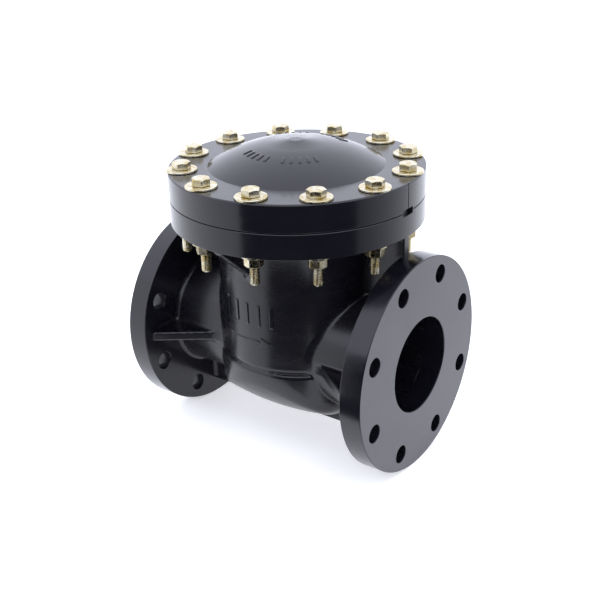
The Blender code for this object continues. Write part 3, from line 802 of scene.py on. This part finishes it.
    def build(self) -> None:
        """Make the skin, with each point's normal taken from the field's slope."""
        points, quads = self.net()
        start = points.copy()
        for _ in range(4):
            slope = self.gradient(points)
            length = np.maximum(np.sum(slope * slope, axis=1), 0.25)
            points = points - slope * (self.field(points) / length)[:, None]
            drift = points - start
            reach = np.maximum(np.linalg.norm(drift, axis=1) / (0.8 * self.cell), 1.0)
            points = start + drift / reach[:, None]
        normals = self.gradient(points)
        normals /= np.maximum(np.linalg.norm(normals, axis=1), 1e-9)[:, None]
        mesh = mesh_from("body_skin", points + (0.0, 0.0, AXIS_Z), quads)
        mesh.shade_smooth()
        mesh.normals_split_custom_set_from_vertices(normals.astype(np.float32))
        settle("body_skin", mesh, [self.finishes.satin], Body.SHELL, ["valve_body"])


# -------------------------------------------------------------------- flanges
@dataclass
class EndFlange:
    """One end flange: a drilled disc with a machined face and a plain bore."""

    finishes: Finishes
    name: str
    side: float
    radius: float = 0.1143
    thickness: float = 0.0235
    edge: float = 0.0008
    hole_circle: float = 0.09525
    hole_r: float = 0.0095
    hole_edge: float = 0.0005
    holes: int = 8
    outer_steps: int = 36
    side_steps: int = 12
    inner_steps: int = 18

    def place(self, across: Array, beside: Array, depth: Array) -> Array:
        """Put a point at y = across, z = beside and depth behind the face."""
        return Axis.X.place(across, beside + AXIS_Z, self.side * (FACE_X - depth))

    def sector_edge(self, inner: float, outer: float) -> Array:
        """Boundary of the sector round the hole at angle 0: outer arc, side, inner arc, side."""
        half = math.pi / self.holes
        out = np.linspace(-half, half, self.outer_steps, endpoint=False)
        back = np.linspace(half, -half, self.inner_steps, endpoint=False)
        share = np.linspace(0.0, 1.0, self.side_steps, endpoint=False)
        angles = np.concatenate([out, np.full(self.side_steps, half), back, np.full(self.side_steps, -half)])
        radii = np.concatenate([np.full(self.outer_steps, outer), outer + (inner - outer) * share,
                                np.full(self.inner_steps, inner), inner + (outer - inner) * share])
        return np.stack([radii * np.cos(angles), radii * np.sin(angles)], axis=-1)

    def round_holes(self, flat: Array, depth: Array, finish: int) -> list[Patch]:
        """Repeat a surface, drawn for a hole at angle 0, at all the holes, which straddle the centre line."""
        patches = []
        for k in range(self.holes):
            turn = 2.0 * math.pi * (k + 0.5) / self.holes
            spin = np.array([[math.cos(turn), math.sin(turn)], [-math.sin(turn), math.cos(turn)]])
            placed = flat @ spin
            patches.append(sheet(self.place(placed[..., 0], placed[..., 1], depth), False, True, finish))
        return patches

    def drilled_plate(self, inner: float, outer: float, depth: float, finish: int) -> list[Patch]:
        """Flat face with its holes: each hole's ring is ruled to the edge of its sector."""
        edge = self.sector_edge(inner, outer)
        centre = np.array([self.hole_circle, 0.0])
        ray = edge - centre
        ring = centre + ray / np.linalg.norm(ray, axis=1)[:, None] * (self.hole_r + self.hole_edge)
        share = np.array([0.0, 0.03, 0.12, 0.35, 0.65, 0.9, 0.98, 1.0])[:, None, None]
        flat = ring + (edge - ring) * share
        return self.round_holes(flat, np.array(depth), finish)

    def hole_walls(self, inner: float, outer: float) -> list[Patch]:
        """Walls of the bolt holes, with a small bevel at both ends."""
        ray = self.sector_edge(inner, outer) - np.array([self.hole_circle, 0.0])
        ray = ray / np.linalg.norm(ray, axis=1)[:, None]
        bevel = self.hole_edge
        depth = np.array([0.0, bevel * 0.4, bevel, 3 * bevel, self.thickness - 3 * bevel,
                          self.thickness - bevel, self.thickness - 0.4 * bevel, self.thickness])
        radius = self.hole_r + bevel * np.array([1.0, 0.3, 0.0, 0.0, 0.0, 0.0, 0.3, 1.0])
        wall = np.array([self.hole_circle, 0.0]) + ray[None, :, :] * radius[:, None, None]
        return self.round_holes(wall, depth[:, None], 0)

    def band(self, radius: Array, depth: Array, steps: int) -> Patch:
        """Surface of revolution between the two faces."""
        turn, reach = full_turn(steps)[None, :], radius[:, None]
        return sheet(self.place(reach * np.cos(turn), reach * np.sin(turn), depth[:, None]), False, True)

    def build(self) -> None:
        """Make the flange from its faces, hole walls, rim and bore."""
        arc = np.linspace(0.0, math.pi / 2.0, 6)
        land = 0.3 * MM
        outer = self.radius - self.edge
        inner = BORE_R + self.edge
        rim_r = np.concatenate([outer + self.edge * np.sin(arc), [self.radius, self.radius],
                                outer + self.edge * np.cos(arc)])
        rim_x = np.concatenate([self.edge * (1.0 - np.cos(arc)),
                                [self.edge + land, self.thickness - self.edge - land],
                                self.thickness - self.edge * (1.0 - np.sin(arc))])
        bore_r = np.concatenate([inner - self.edge * np.sin(arc), [BORE_R, BORE_R, BORE_R]])
        bore_x = np.concatenate([self.edge * (1.0 - np.cos(arc)), [self.edge + land, 0.6 * self.thickness,
                                                                  self.thickness]])
        patches = self.drilled_plate(inner, outer, 0.0, 1)
        patches += self.drilled_plate(BORE_R, outer, self.thickness, 0)
        patches += self.hole_walls(inner, outer)
        patches += [self.band(rim_r, rim_x, self.holes * self.outer_steps),
                    self.band(bore_r, bore_x, self.holes * self.inner_steps)]
        make_piece(self.name, patches, [self.finishes.moulded, self.finishes.machined], Body.SHELL,
                   ["valve_body"])


@dataclass
class PryNotch:
    """Recess in the joint for levering the cover off, shared by both rims, and the groove above it."""

    depth: float = 0.004
    width: float = 0.018
    height: float = 0.0068
    groove: float = 0.0011
    groove_depth: float = 0.0009
    middle: float = JOINT_Z + 0.0003

    def floor(self) -> float:
        """Height of the recess's lower side."""
        return self.middle - self.height / 2.0

    def roof(self) -> float:
        """Height of the recess's upper side."""
        return self.middle + self.height / 2.0

    def turns(self) -> Array:
        """Angles round the rim, with close pairs at the sides of the recess and of the parting groove."""
        half, groove = math.asin(self.width / 2.0 / JOINT_R), self.groove / 2.0 / JOINT_R
        close = np.array([-0.0004, 0.0004])
        extra = np.concatenate([side * edge + close for side in (-1.0, 1.0) for edge in (half, groove)])
        even = np.arange(-math.pi, math.pi, math.radians(0.75)) + math.radians(0.31)
        return np.sort(np.concatenate([even, extra]))

    def carve(self, outline: Array, turns: Array, low: float, high: float) -> tuple[Array, Array]:
        """Push the outline in to the recess's floor where both angle and height fall in it.

        Args:
            outline: Rows of (radius, along).
            turns: Angles round the rim.
            low: Lowest height of the recess.
            high: Highest height of the recess.

        Returns:
            Radius and along, outline points by turns.
        """
        radius = np.repeat(outline[:, :1], len(turns), axis=1)
        along = np.repeat(outline[:, 1:], len(turns), axis=1)
        half = math.asin(self.width / 2.0 / JOINT_R)
        inside = (np.abs(turns)[None, :] < half) & (along > low) & (along < high)
        return np.where(inside, np.minimum(radius, JOINT_R - self.depth), radius), along


@dataclass
class BodyTopFlange:
    """Round flange on top of the body that the cover is bolted to."""

    finishes: Finishes
    notch: PryNotch
    edge: float = 0.0010

    def build(self) -> None:
        """Turn the flange's outline and sink the lever recess into its upper edge."""
        floor = self.notch.floor()
        corners = [(CHAMBER_R + 0.0002, BODY_FLANGE_LOW, 0.0), (JOINT_R, BODY_FLANGE_LOW, self.edge),
                   (JOINT_R, floor - 0.05 * MM, 0.0), (JOINT_R, floor + 0.05 * MM, 0.0),
                   (JOINT_R, JOINT_Z, self.edge), (CHAMBER_R + 0.0002, JOINT_Z, 0.0)]
        turns = self.notch.turns()
        radius, along = self.notch.carve(rounded(corners), turns, floor, JOINT_Z + 0.001)
        patch = sweep(radius, along, turns, Axis.Z, COVER_AXIS)
        make_piece("body_top_flange", [patch], [self.finishes.moulded], Body.SHELL, ["valve_body"])


# ---------------------------------------------------------------- raised marks
@dataclass
class RaisedPad:
    """Low pad with soft edges on a curved wall."""

    outline: Array
    centre: tuple[float, float]
    inner_r: float
    proud: float = 0.0011
    sunk: float = 0.0010

    def rings(self) -> tuple[Array, Array]:
        """Scale the outline towards its centre while the height rises along a quarter circle.

        Returns:
            Flat positions, rings by points by 2, and the height of each ring.
        """
        arc = np.linspace(0.0, math.pi / 2.0, 5)
        inset = np.concatenate([[0.0, 0.0], 0.5 * MM * (1.0 - np.cos(arc[1:])),
                                [self.inner_r * 0.6, self.inner_r]])
        height = np.concatenate([[-self.sunk, self.proud - 0.6 * MM],
                                 self.proud - 0.6 * MM * (1.0 - np.sin(arc[1:])), [self.proud, self.proud]])
        middle = np.array(self.centre)
        share = 1.0 - inset / self.inner_r
        flat = middle + (self.outline - middle)[None, :, :] * share[:, None, None]
        under = np.repeat(middle[None, None, :], len(self.outline), axis=1)
        return np.vstack([under, flat]), np.concatenate([[-self.sunk], height])


def bar_outline(width: float, height: float, centre: tuple[float, float]) -> Array:
    """Bar with round-cornered ends, as corner points rounded by 0.9 mm."""
    w, h = width / 2.0, height / 2.0
    x, y = centre
    corner = min(0.9 * MM, 0.8 * w, 0.8 * h)
    return rounded([(x - w, y - h, corner), (x + w, y - h, corner),
                    (x + w, y + h, corner), (x - w, y + h, corner)])


@dataclass
class BarrelMarks:
    """Plain raised bars and a flow arrow on both sides of the barrel."""

    finishes: Finishes
    bars: int = 5
    left: float = -0.0365
    pitch: float = 0.0145
    width: float = 0.0040
    height: float = 0.0240
    bottom: float = 0.0400
    arrow_from: float = -0.046
    arrow_to: float = 0.024
    arrow_z: float = 0.022
    arrow_head: float = 0.014
    barb: float = 0.0055
    shaft: float = 0.0028

    def pads(self) -> list[RaisedPad]:
        """Outlines of all marks in the plane of x and height above the port axis."""
        pads = []
        for k in range(self.bars):
            centre = (self.left + self.pitch * k + self.width / 2.0, self.bottom + self.height / 2.0)
            pads.append(RaisedPad(bar_outline(self.width, self.height, centre), centre, self.width / 2.0))
        neck = self.arrow_to - self.arrow_head
        centre = ((self.arrow_from + neck) / 2.0, self.arrow_z)
        pads.append(RaisedPad(bar_outline(neck - self.arrow_from + 0.002, self.shaft, centre), centre,
                              self.shaft / 2.0))
        head = rounded([(neck, self.arrow_z - self.barb, 0.6 * MM), (self.arrow_to, self.arrow_z, 0.6 * MM),
                        (neck, self.arrow_z + self.barb, 0.6 * MM)])
        pads.append(RaisedPad(head, (neck + 0.0042, self.arrow_z), 0.0038))
        return pads

    def build(self) -> None:
        """Wrap each mark on to the barrel: y = square root of (radius squared - x squared)."""
        patches = []
        for hand in (-1.0, 1.0):
            for pad in self.pads():
                flat, height = pad.rings()
                x, z = flat[..., 0], flat[..., 1]
                radius = barrel_radius(z) + height[:, None]
                y = hand * np.sqrt(radius ** 2 - x ** 2)
                patches.append(sheet(np.stack([x, y, z + AXIS_Z], axis=-1), False, True))
        make_piece("barrel_marks", patches, [self.finishes.moulded], Body.SHELL,
                   ["valve_body"], 75.0)


# ---------------------------------------------------------------------- cover
@dataclass
class Bonnet:
    """Cover with its thick bolting rim, hollow dome, gate mark and raised bars."""

    finishes: Finishes
    notch: PryNotch
    split: float = 0.0006
    dome_r: float = 0.0915
    dome_h: float = 0.0250
    wall: float = 0.0120
    foot_fillet: float = 0.0050
    top_edge: float = 0.0016
    low_edge: float = 0.0010
    gate_r: float = 0.0075
    gate_h: float = 0.00015
    bar_groups_deg: tuple[float, ...] = (-106.0, -50.0, 74.0, 130.0)
    bars_in_group: int = 5
    bar_pitch_deg: float = 9.0
    bar_circle: float = 0.052
    bar_long: float = 0.0100
    bar_wide: float = 0.0030

    def dome(self, radius: Array) -> Array:
        """Height of the spherical cap above the rim's top."""
        sphere = (self.dome_r ** 2 + self.dome_h ** 2) / (2.0 * self.dome_h)
        return np.sqrt(sphere ** 2 - np.asarray(radius) ** 2) - (sphere - self.dome_h)

    def outline(self) -> Array:
        """Closed outline: hollow underside, joint face, rim, top and dome."""
        low, notch_top = JOINT_Z + self.split, self.notch.roof()
        roof = COVER_TOP - self.wall
        under = [(r, float(COVER_TOP + self.dome(r) - self.wall), 0.0)
                 for r in (0.0, 0.012, 0.024, 0.036, 0.048)]
        side = [(0.066, roof, 0.004), (CHAMBER_R, roof - 0.010, 0.004), (CHAMBER_R, low, 0.0005),
                (JOINT_R, low, self.low_edge), (JOINT_R, notch_top - 0.05 * MM, 0.0),
                (JOINT_R, notch_top + 0.05 * MM, 0.0), (JOINT_R, COVER_TOP, self.top_edge)]
        cap_r = self.dome_r * np.sqrt(1.0 - (np.arange(1, 22) / 22.5) ** 2)
        cap = [(float(r), float(COVER_TOP + self.dome(r)), 0.0) for r in cap_r if r > self.gate_r + 0.002]
        peak = float(COVER_TOP + self.dome(self.gate_r))
        gate = [(self.gate_r + 0.0004, peak, 0.0), (self.gate_r, peak + self.gate_h, 0.0002),
                (0.0, float(COVER_TOP + self.dome_h + self.gate_h), 0.0)]
        return rounded(under + side + [(self.dome_r, COVER_TOP, self.foot_fillet)] + cap + gate)

    def raised_bars(self) -> list[Patch]:
        """Bars that point to the apex, laid on the cap at rho = circle + v, angle = turn + u / circle."""
        patches = []
        steps = (np.arange(self.bars_in_group) - (self.bars_in_group - 1) / 2.0) * self.bar_pitch_deg
        for turn_deg in np.add.outer(np.array(self.bar_groups_deg), steps).ravel():
            pad = RaisedPad(bar_outline(self.bar_long, self.bar_wide, (0.0, 0.0)), (0.0, 0.0),
                            self.bar_wide / 2.0, proud=0.0009)
            flat, height = pad.rings()
            rho = self.bar_circle + flat[..., 0]
            turn = math.radians(turn_deg) + flat[..., 1] / self.bar_circle
            z = COVER_TOP + self.dome(rho) + height[:, None]
            patches.append(sheet(Axis.Z.place(rho * np.cos(turn), rho * np.sin(turn), z), False, True))
        return patches

    def build(self) -> None:
        """Turn the cover and add its bars."""
        outline, turns = self.outline(), self.notch.turns()
        radius, along = self.notch.carve(outline, turns, JOINT_Z - 0.001, self.notch.roof())
        near = np.abs(turns)[None, :] < self.notch.groove / 2.0 / JOINT_R
        groove = near & (radius > JOINT_R - self.top_edge / 2.0)
        radius = np.where(groove, radius - self.notch.groove_depth, radius)
        cover = sweep(radius, along, turns, Axis.Z, COVER_AXIS)
        make_piece("cover", [cover], [self.finishes.moulded], Body.SHELL, ["bonnet"])
        make_piece("cover_marks", self.raised_bars(), [self.finishes.moulded], Body.SHELL,
                   ["bonnet"], 75.0)


@dataclass
class CoverGasket:
    """Flat rubber ring between body and cover."""

    finishes: Finishes
    inner: float = 0.0790
    outer: float = 0.1085

    def build(self) -> None:
        """Turn the ring at the CAD node's height."""
        low, high = (corner.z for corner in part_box("bonnet_gasket"))
        corners = [(self.inner, low, 0.0003), (self.outer, low, 0.0003), (self.outer, high, 0.0003),
                   (self.inner, high, 0.0003)]
        make_piece("cover_gasket", [turned(corners, 180, Axis.Z, COVER_AXIS)], [self.finishes.rubber],
                   Body.SHELL, ["bonnet_gasket"])


# ------------------------------------------------------------------ fasteners
@dataclass
class Hexagon:
    """Hexagon with chamfered ends, as a bolt head or a nut."""

    phase: float
    low: float
    high: float
    flat_r: float = 0.0079
    slope: float = 0.58

    def outer_rows(self, both_ends: bool) -> tuple[Array, Array]:
        """Rows from the lower end to the upper end; a cone z = end - slope * (r - flat_r) cuts the corners.

        Args:
            both_ends: Whether the lower end is chamfered too.

        Returns:
            Radius and height, rows by angles.
        """
        turns = hexagon_turns(self.phase)
        side = hexagon_radius(turns, self.phase)
        fall = self.slope * (side - self.flat_r)
        foot = fall if both_ends else np.full_like(side, 0.15 * MM)
        soft = 0.12 * MM
        start = self.flat_r if both_ends else side - 0.15 * MM
        flat = np.broadcast_to(start, side.shape)
        rows = [(flat, self.low), (side - soft, self.low + foot - soft * self.slope),
                (side, self.low + foot + soft), (side, self.low + foot + 3.0 * soft),
                (side, self.high - fall - 3.0 * soft), (side, self.high - fall - soft),
                (side - soft, self.high - fall + soft * self.slope),
                (np.full_like(side, self.flat_r + 0.1 * MM), self.high - 0.1 * MM * self.slope),
                (np.full_like(side, self.flat_r - 0.1 * MM), self.high)]
        radius = np.stack([np.broadcast_to(r, side.shape) for r, _ in rows])
        height = np.stack([np.broadcast_to(h, side.shape) for _, h in rows])
        return radius, height

    def nut(self, bore: float, axis: Axis, centre: Sequence[float]) -> Patch:
        """Nut chamfered on both ends and countersunk by 0.6 mm at its bore."""
        radius, height = self.outer_rows(True)
        sink = 0.6 * MM
        inner_r = np.array([bore + sink, bore, bore, bore + sink])[:, None]
        inner_z = np.array([self.high, self.high - sink, self.low + sink, self.low])[:, None]
        columns = np.ones((1, radius.shape[1]))
        return sweep(np.vstack([radius, inner_r * columns]), np.vstack([height, inner_z * columns]),
                     hexagon_turns(self.phase), axis, centre)


@dataclass
class CoverFasteners:
    """Twelve hexagon bolts with wide washers, nut washers and nuts, all yellow zinc."""

    finishes: Finishes
    count: int = 12
    head_height: float = 0.0070
    washer_gap: float = 0.0006
    steps: int = 40
    thread_pitch: float = 0.0019
    thread_depth: float = 0.0009
    rows_per_pitch: int = 9
    turns_deg: tuple[float, ...] = (4.0, 22.0, 41.0, 13.0, 35.0, 8.0, 27.0, 49.0, 17.0, 2.0, 31.0, 44.0)

    def station(self, name: str) -> tuple[Vector, Vector, tuple[float, float, float]]:
        """Corners of a CAD node's box and the upright axis through its middle."""
        low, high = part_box(name)
        return low, high, ((low.x + high.x) / 2.0, (low.y + high.y) / 2.0, 0.0)

    def washer(self, name: str) -> None:
        """Stamped washer: rounded on the upper edge, slightly sharp below."""
        low, high, centre = self.station(name)
        outer = (high.x - low.x) / 2.0
        hole = THREAD_R + self.washer_gap
        corners = [(hole, low.z, 0.0002), (outer, low.z, 0.0003),
                   (outer, high.z, 0.0008), (hole, high.z, 0.0003)]
        make_piece(name.replace("washer", "zinc_washer"), [turned(corners, 72, Axis.Z, centre)],
                   [self.finishes.zinc], Body.SHELL, [name])

    def nut(self, name: str, phase_deg: float) -> None:
        """Hexagon nut, chamfered on both ends and countersunk at its bore."""
        low, high, centre = self.station(name)
        shape = Hexagon(math.radians(phase_deg), low.z, high.z)
        patch = shape.nut(THREAD_R + THREAD_GAP, Axis.Z, centre)
        make_piece(name.replace("cover_nut", "hex_nut"), [patch], [self.finishes.zinc], Body.SHELL,
                   [name], 30.0)

    def thread(self, end: float, top: float, centre: Sequence[float]) -> Patch:
        """Screw thread: the crest is a ridge of the phase height / pitch - turn / full turn.

        The ridge's depth grows from nothing at the pointed tip and fades under the head.
        """
        rows = int(round((top - end) / self.thread_pitch * self.rows_per_pitch))
        along = np.linspace(end, top, rows)[:, None]
        turn = full_turn(self.steps)[None, :]
        phase = (along / self.thread_pitch - turn / (2.0 * math.pi)) % 1.0
        ridge = np.clip(3.2 * (0.5 - np.abs(phase - 0.5)) - 0.25, 0.0, 1.0)
        grown = smooth_step(along, end, end + 0.0016)
        radius = THREAD_R - self.thread_depth + self.thread_depth * ridge * grown
        radius = np.minimum(radius, THREAD_R - 0.0012 + 0.9 * (along - end))
        height = np.broadcast_to(along, radius.shape)
        middle = np.zeros((1, self.steps))
        radius = np.vstack([middle, radius, middle])
        height = np.vstack([height[:1], height, height[-1:]])
        return sweep(radius, height, full_turn(self.steps), Axis.Z, centre, False)

    def bolt(self, name: str, phase_deg: float, nut_top: float) -> None:
        """Bolt with a chamfered hexagon head, a plain shank and a threaded end."""
        low, high, centre = self.station(name)
        seat = high.z - self.head_height
        shape = Hexagon(math.radians(phase_deg), seat, high.z)
        radius, height = shape.outer_rows(False)
        crown_r = np.array([[0.0070], [0.0045], [0.0]])
        crown_z = np.full_like(crown_r, high.z)
        columns = np.ones((1, radius.shape[1]))
        head = sweep(np.vstack([np.zeros_like(columns), radius, crown_r * columns]),
                     np.vstack([seat * columns, height, crown_z * columns]),
                     hexagon_turns(shape.phase), Axis.Z, centre)
        split = nut_top + 0.002
        shank_r, inside = THREAD_R - 0.1 * MM, seat + 1.0 * MM
        corners = [(0.0, split, 0.0), (shank_r, split, 0.0003), (shank_r, inside, 0.0), (0.0, inside, 0.0)]
        shank = turned(corners, self.steps, Axis.Z, centre)
        tail = self.thread(low.z, split + 0.001, centre)
        make_piece(name.replace("cover_bolt", "hex_bolt"), [head, shank, tail], [self.finishes.zinc],
                   Body.SHELL, [name], 30.0)

    def build(self) -> None:
        """Make all four pieces at each of the twelve stations."""
        for k in range(self.count):
            tag = "%02d" % (k + 1)
            nut_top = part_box("cover_nut_" + tag)[1].z
            self.bolt("cover_bolt_" + tag, self.turns_deg[k], nut_top)
            self.washer("head_washer_" + tag)
            self.washer("nut_washer_" + tag)
            self.nut("cover_nut_" + tag, self.turns_deg[(k + 5) % self.count])


# ----------------------------------------------------------- closing mechanism
@dataclass
class Flap:
    """Disc with its rubber facing, washer and nut, all on the swinging body, and the finish of the cast arm.
    """

    finishes: Finishes
    disc_r: float = 0.0570
    disc_t: float = 0.0085
    stud_r: float = 0.0050
    facing_in: float = 0.0440
    facing_out: float = 0.0560
    facing_t: float = 0.0030
    facing_proud: float = 0.0012
    washer_r: float = 0.0105

    def disc(self) -> None:
        """Disc with a raised hub, a rim bead, a plain stud and the groove for its facing."""
        front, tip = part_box("disc")[0].x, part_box("disc")[1].x
        back, groove = front + self.disc_t, front + self.facing_t - self.facing_proud + 0.0003
        corners = [(0.0, front, 0.0), (self.facing_in - 0.0003, front, 0.0004),
                   (self.facing_in - 0.0003, groove, 0.0), (self.facing_out, groove, 0.0),
                   (self.facing_out, front, 0.0002), (self.disc_r, front, 0.0005), (self.disc_r, back, 0.0025),
                   (0.0515, back, 0.0006), (0.0500, back - 0.0012, 0.0008), (0.0200, back - 0.0012, 0.0030),
                   (0.0160, back, 0.0010), (self.stud_r, back, 0.0004), (self.stud_r, tip, 0.0008),
                   (0.0, tip, 0.0)]
        patch = turned(corners, 144, Axis.X, PORT_AXIS)
        make_piece("flap_disc", [patch], [self.finishes.moulded], Body.FLAP, ["disc"])

    def facing(self) -> None:
        """Rubber facing with a soft lip towards the seat."""
        low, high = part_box("disc_facing")
        inner, outer = self.facing_in, (high.y - low.y) / 2.0
        middle = (inner + outer) / 2.0
        corners = [(inner, low.x + 0.0004, 0.0005), (middle, low.x, 0.0040), (outer, low.x + 0.0004, 0.0005),
                   (outer, high.x, 0.0002), (inner, high.x, 0.0002)]
        patch = turned(corners, 144, Axis.X, PORT_AXIS)
        make_piece("flap_facing", [patch], [self.finishes.rubber], Body.FLAP, ["disc_facing"])

    def hardware(self) -> None:
        """Washer and nut on the disc's stud."""
        low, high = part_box("disc_washer")
        corners = [(self.stud_r + 0.0004, low.x, 0.0002), (self.washer_r, low.x, 0.0003),
                   (self.washer_r, high.x, 0.0006), (self.stud_r + 0.0004, high.x, 0.0003)]
        make_piece("stud_washer", [turned(corners, 60, Axis.X, PORT_AXIS)], [self.finishes.bright],
                   Body.FLAP, ["disc_washer"])
        low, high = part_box("disc_nut")
        shape = Hexagon(math.pi / 6.0, low.x, high.x)
        patch = shape.nut(self.stud_r + THREAD_GAP, Axis.X, PORT_AXIS)
        make_piece("stud_nut", [patch], [self.finishes.bright], Body.FLAP, ["disc_nut"], 30.0)

    def build(self) -> None:
        """Make the disc, facing and hardware, and dress the cast arm."""
        self.disc()
        self.facing()
        self.hardware()
        dress_node("hinge_arm", self.finishes.cast)


@dataclass
class SeatAndPin:
    """Seat ring pressed into the body, hinge pin and its two retaining rings."""

    finishes: Finishes
    ring_in: float = 0.0520
    ring_out: float = 0.0600

    def build(self) -> None:
        """Turn the seat ring with a crowned land, and dress the pin and its rings."""
        low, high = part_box("seat_ring")
        middle = (self.ring_in + self.ring_out) / 2.0
        corners = [(self.ring_in, low.x, 0.0002), (self.ring_out, low.x, 0.0002),
                   (self.ring_out, high.x - 0.0004, 0.0005), (middle, high.x, 0.0040),
                   (self.ring_in, high.x - 0.0004, 0.0005)]
        make_piece("seat_land", [turned(corners, 144, Axis.X, PORT_AXIS)], [self.finishes.bright],
                   Body.SHELL, ["seat_ring"])
        for node in ("hinge_pin", "pin_clip_near", "pin_clip_far"):
            dress_node(node, self.finishes.bright)


# --------------------------------------------------------------------- studio
@dataclass
class Studio:
    """Pale floor, even white surroundings, a dark flag and the camera."""

    azimuth_deg: float = 36.61
    elevation_deg: float = 23.45
    roll_deg: float = -1.63
    distance: float = 1.06987
    aim_z: float = AXIS_Z + 0.060
    focal_px: float = 991.91
    image_px: float = 600.0
    shift_down: float = 0.0347
    surround: float = 1.85
    floor_colour: str = "#f2f2f2"
    floor_glow: float = 0.45
    left_glow: float = 1.1
    right_glow: float = 0.35
    flag_r: float = 0.42
    flag_inner: tuple[float, float] = (0.225, 0.36)
    flag_step_deg: tuple[float, float] = (2.0, 14.0)
    flag_bend: float = 0.03
    flag_top: float = 0.30
    flag_half_deg: float = 43.0
    panel_half_deg: float = 112.0

    def floor(self) -> None:
        """Wide floor, a polar grid so that it stays finely divided near the valve."""
        radius = np.array([0.0, 0.3, 0.8, 2.0, 6.0, 20.0])[:, None]
        patch = sweep(radius, np.zeros_like(radius), full_turn(64), Axis.Z, COVER_AXIS, False)
        mesh = mesh_from("studio_floor", patch.points, patch.quads)
        finish = bpy.data.materials.new("studio_floor")
        finish.use_nodes = True
        shader = finish.node_tree.nodes["Principled BSDF"]
        shader.inputs["Base Color"].default_value = linear(self.floor_colour)
        shader.inputs["Roughness"].default_value = 0.9
        shader.inputs["Specular IOR Level"].default_value = 0.1
        shader.inputs["Emission Color"].default_value = linear(self.floor_colour)
        shader.inputs["Emission Strength"].default_value = self.floor_glow
        mesh.materials.append(finish)
        floor = bpy.data.objects.new("studio_floor", mesh)
        bpy.context.scene.collection.objects.link(floor)

    def flag(self) -> None:
        """Curved flag seen only in reflections: black near the camera's side, glowing further round.

        The glow is a point attribute: none within the flag's half angle, then rising in
        a straight line from each side's own start to the surround's strength at the end.
        """
        toward = math.radians(self.azimuth_deg - 90.0)
        spread = np.concatenate([np.linspace(-self.panel_half_deg, -self.flag_half_deg - 0.5, 24),
                                 np.linspace(-self.flag_half_deg, self.flag_half_deg, 24),
                                 np.linspace(self.flag_half_deg + 0.5, self.panel_half_deg, 24)])
        turn = toward + np.radians(spread)[None, :]
        inner = np.interp(spread, self.flag_step_deg, self.flag_inner)
        outer = np.array([self.flag_r - self.flag_bend, self.flag_r, self.flag_r])[:, None]
        radius = np.vstack([inner, np.repeat(outer, len(spread), axis=1)])
        height = np.array([0.001, 0.001, self.flag_bend, self.flag_top])[:, None]
        patch = sheet(Axis.Z.place(radius * np.cos(turn), radius * np.sin(turn), height))
        start = np.where(spread < 0.0, self.left_glow, self.right_glow)
        share = (np.abs(spread) - self.flag_half_deg) / (self.panel_half_deg - self.flag_half_deg)
        glow = np.where(np.abs(spread) <= self.flag_half_deg, 0.0, start + (self.surround - start) * share)
        mesh = mesh_from("studio_flag", patch.points, patch.quads)
        glows = mesh.attributes.new("glow", "FLOAT", "POINT")
        glows.data.foreach_set("value", np.tile(glow, 4).astype(np.float32))
        finish = bpy.data.materials.new("studio_flag")
        finish.use_nodes = True
        tree = finish.node_tree
        level = add_node(tree, "Attribute", {"attribute_name": "glow"})
        light = add_node(tree, "Emission", {"Color": linear("#f4f6ff")}, {"Strength": level.outputs["Fac"]})
        tree.links.new(light.outputs["Emission"], tree.nodes["Material Output"].inputs["Surface"])
        mesh.materials.append(finish)
        flag = bpy.data.objects.new("studio_flag", mesh)
        bpy.context.scene.collection.objects.link(flag)
        flag.visible_camera = flag.visible_diffuse = flag.visible_shadow = flag.visible_transmission = False

    def surroundings(self) -> None:
        """Even white light from all round."""
        world = bpy.data.worlds.new("studio")
        world.use_nodes = True
        backdrop = world.node_tree.nodes["Background"]
        backdrop.inputs["Color"].default_value = linear("#eef1ff")
        backdrop.inputs["Strength"].default_value = self.surround
        bpy.context.scene.world = world
        bpy.context.scene.view_settings.view_transform = "Standard"

    def camera(self) -> None:
        """Camera on a sphere round the aim point, rolled a little and shifted down."""
        azimuth, elevation = math.radians(self.azimuth_deg), math.radians(self.elevation_deg)
        roll = math.radians(self.roll_deg)
        back = Vector((math.sin(azimuth) * math.cos(elevation), -math.cos(azimuth) * math.cos(elevation),
                       math.sin(elevation)))
        right = Vector((math.cos(azimuth), math.sin(azimuth), 0.0))
        up = back.cross(right)
        level_right = right * math.cos(roll) + up * math.sin(roll)
        level_up = up * math.cos(roll) - right * math.sin(roll)
        turn = Matrix((level_right, level_up, back)).transposed().to_4x4()
        data = bpy.data.cameras.new("camera")
        data.sensor_width = 36.0
        data.lens = self.focal_px * data.sensor_width / self.image_px
        data.shift_y = -self.shift_down
        data.clip_start, data.clip_end = 0.01, 100.0
        camera = bpy.data.objects.new("camera", data)
        camera.matrix_world = Matrix.Translation(Vector((0.0, 0.0, self.aim_z)) + back * self.distance) @ turn
        bpy.context.scene.collection.objects.link(camera)
        bpy.context.scene.camera = camera

    def build(self) -> None:
        """Set up the whole studio."""
        self.surroundings()
        self.floor()
        self.flag()
        self.camera()


def main() -> None:
    """Build the valve from its sub-assemblies, then the studio."""
    logging.basicConfig(level=logging.INFO, format="%(message)s")
    finishes = Finishes.make()
    notch = PryNotch()
    assemblies = [BodySkin(finishes), EndFlange(finishes, "inlet_flange", -1.0),
                  EndFlange(finishes, "outlet_flange", 1.0), BodyTopFlange(finishes, notch),
                  BarrelMarks(finishes), Bonnet(finishes, notch), CoverGasket(finishes),
                  CoverFasteners(finishes), SeatAndPin(finishes), Flap(finishes), Studio()]
    for assembly in assemblies:
        LOG.info("building %s", type(assembly).__name__)
        assembly.build()


if __name__ == "__main__":
    main()
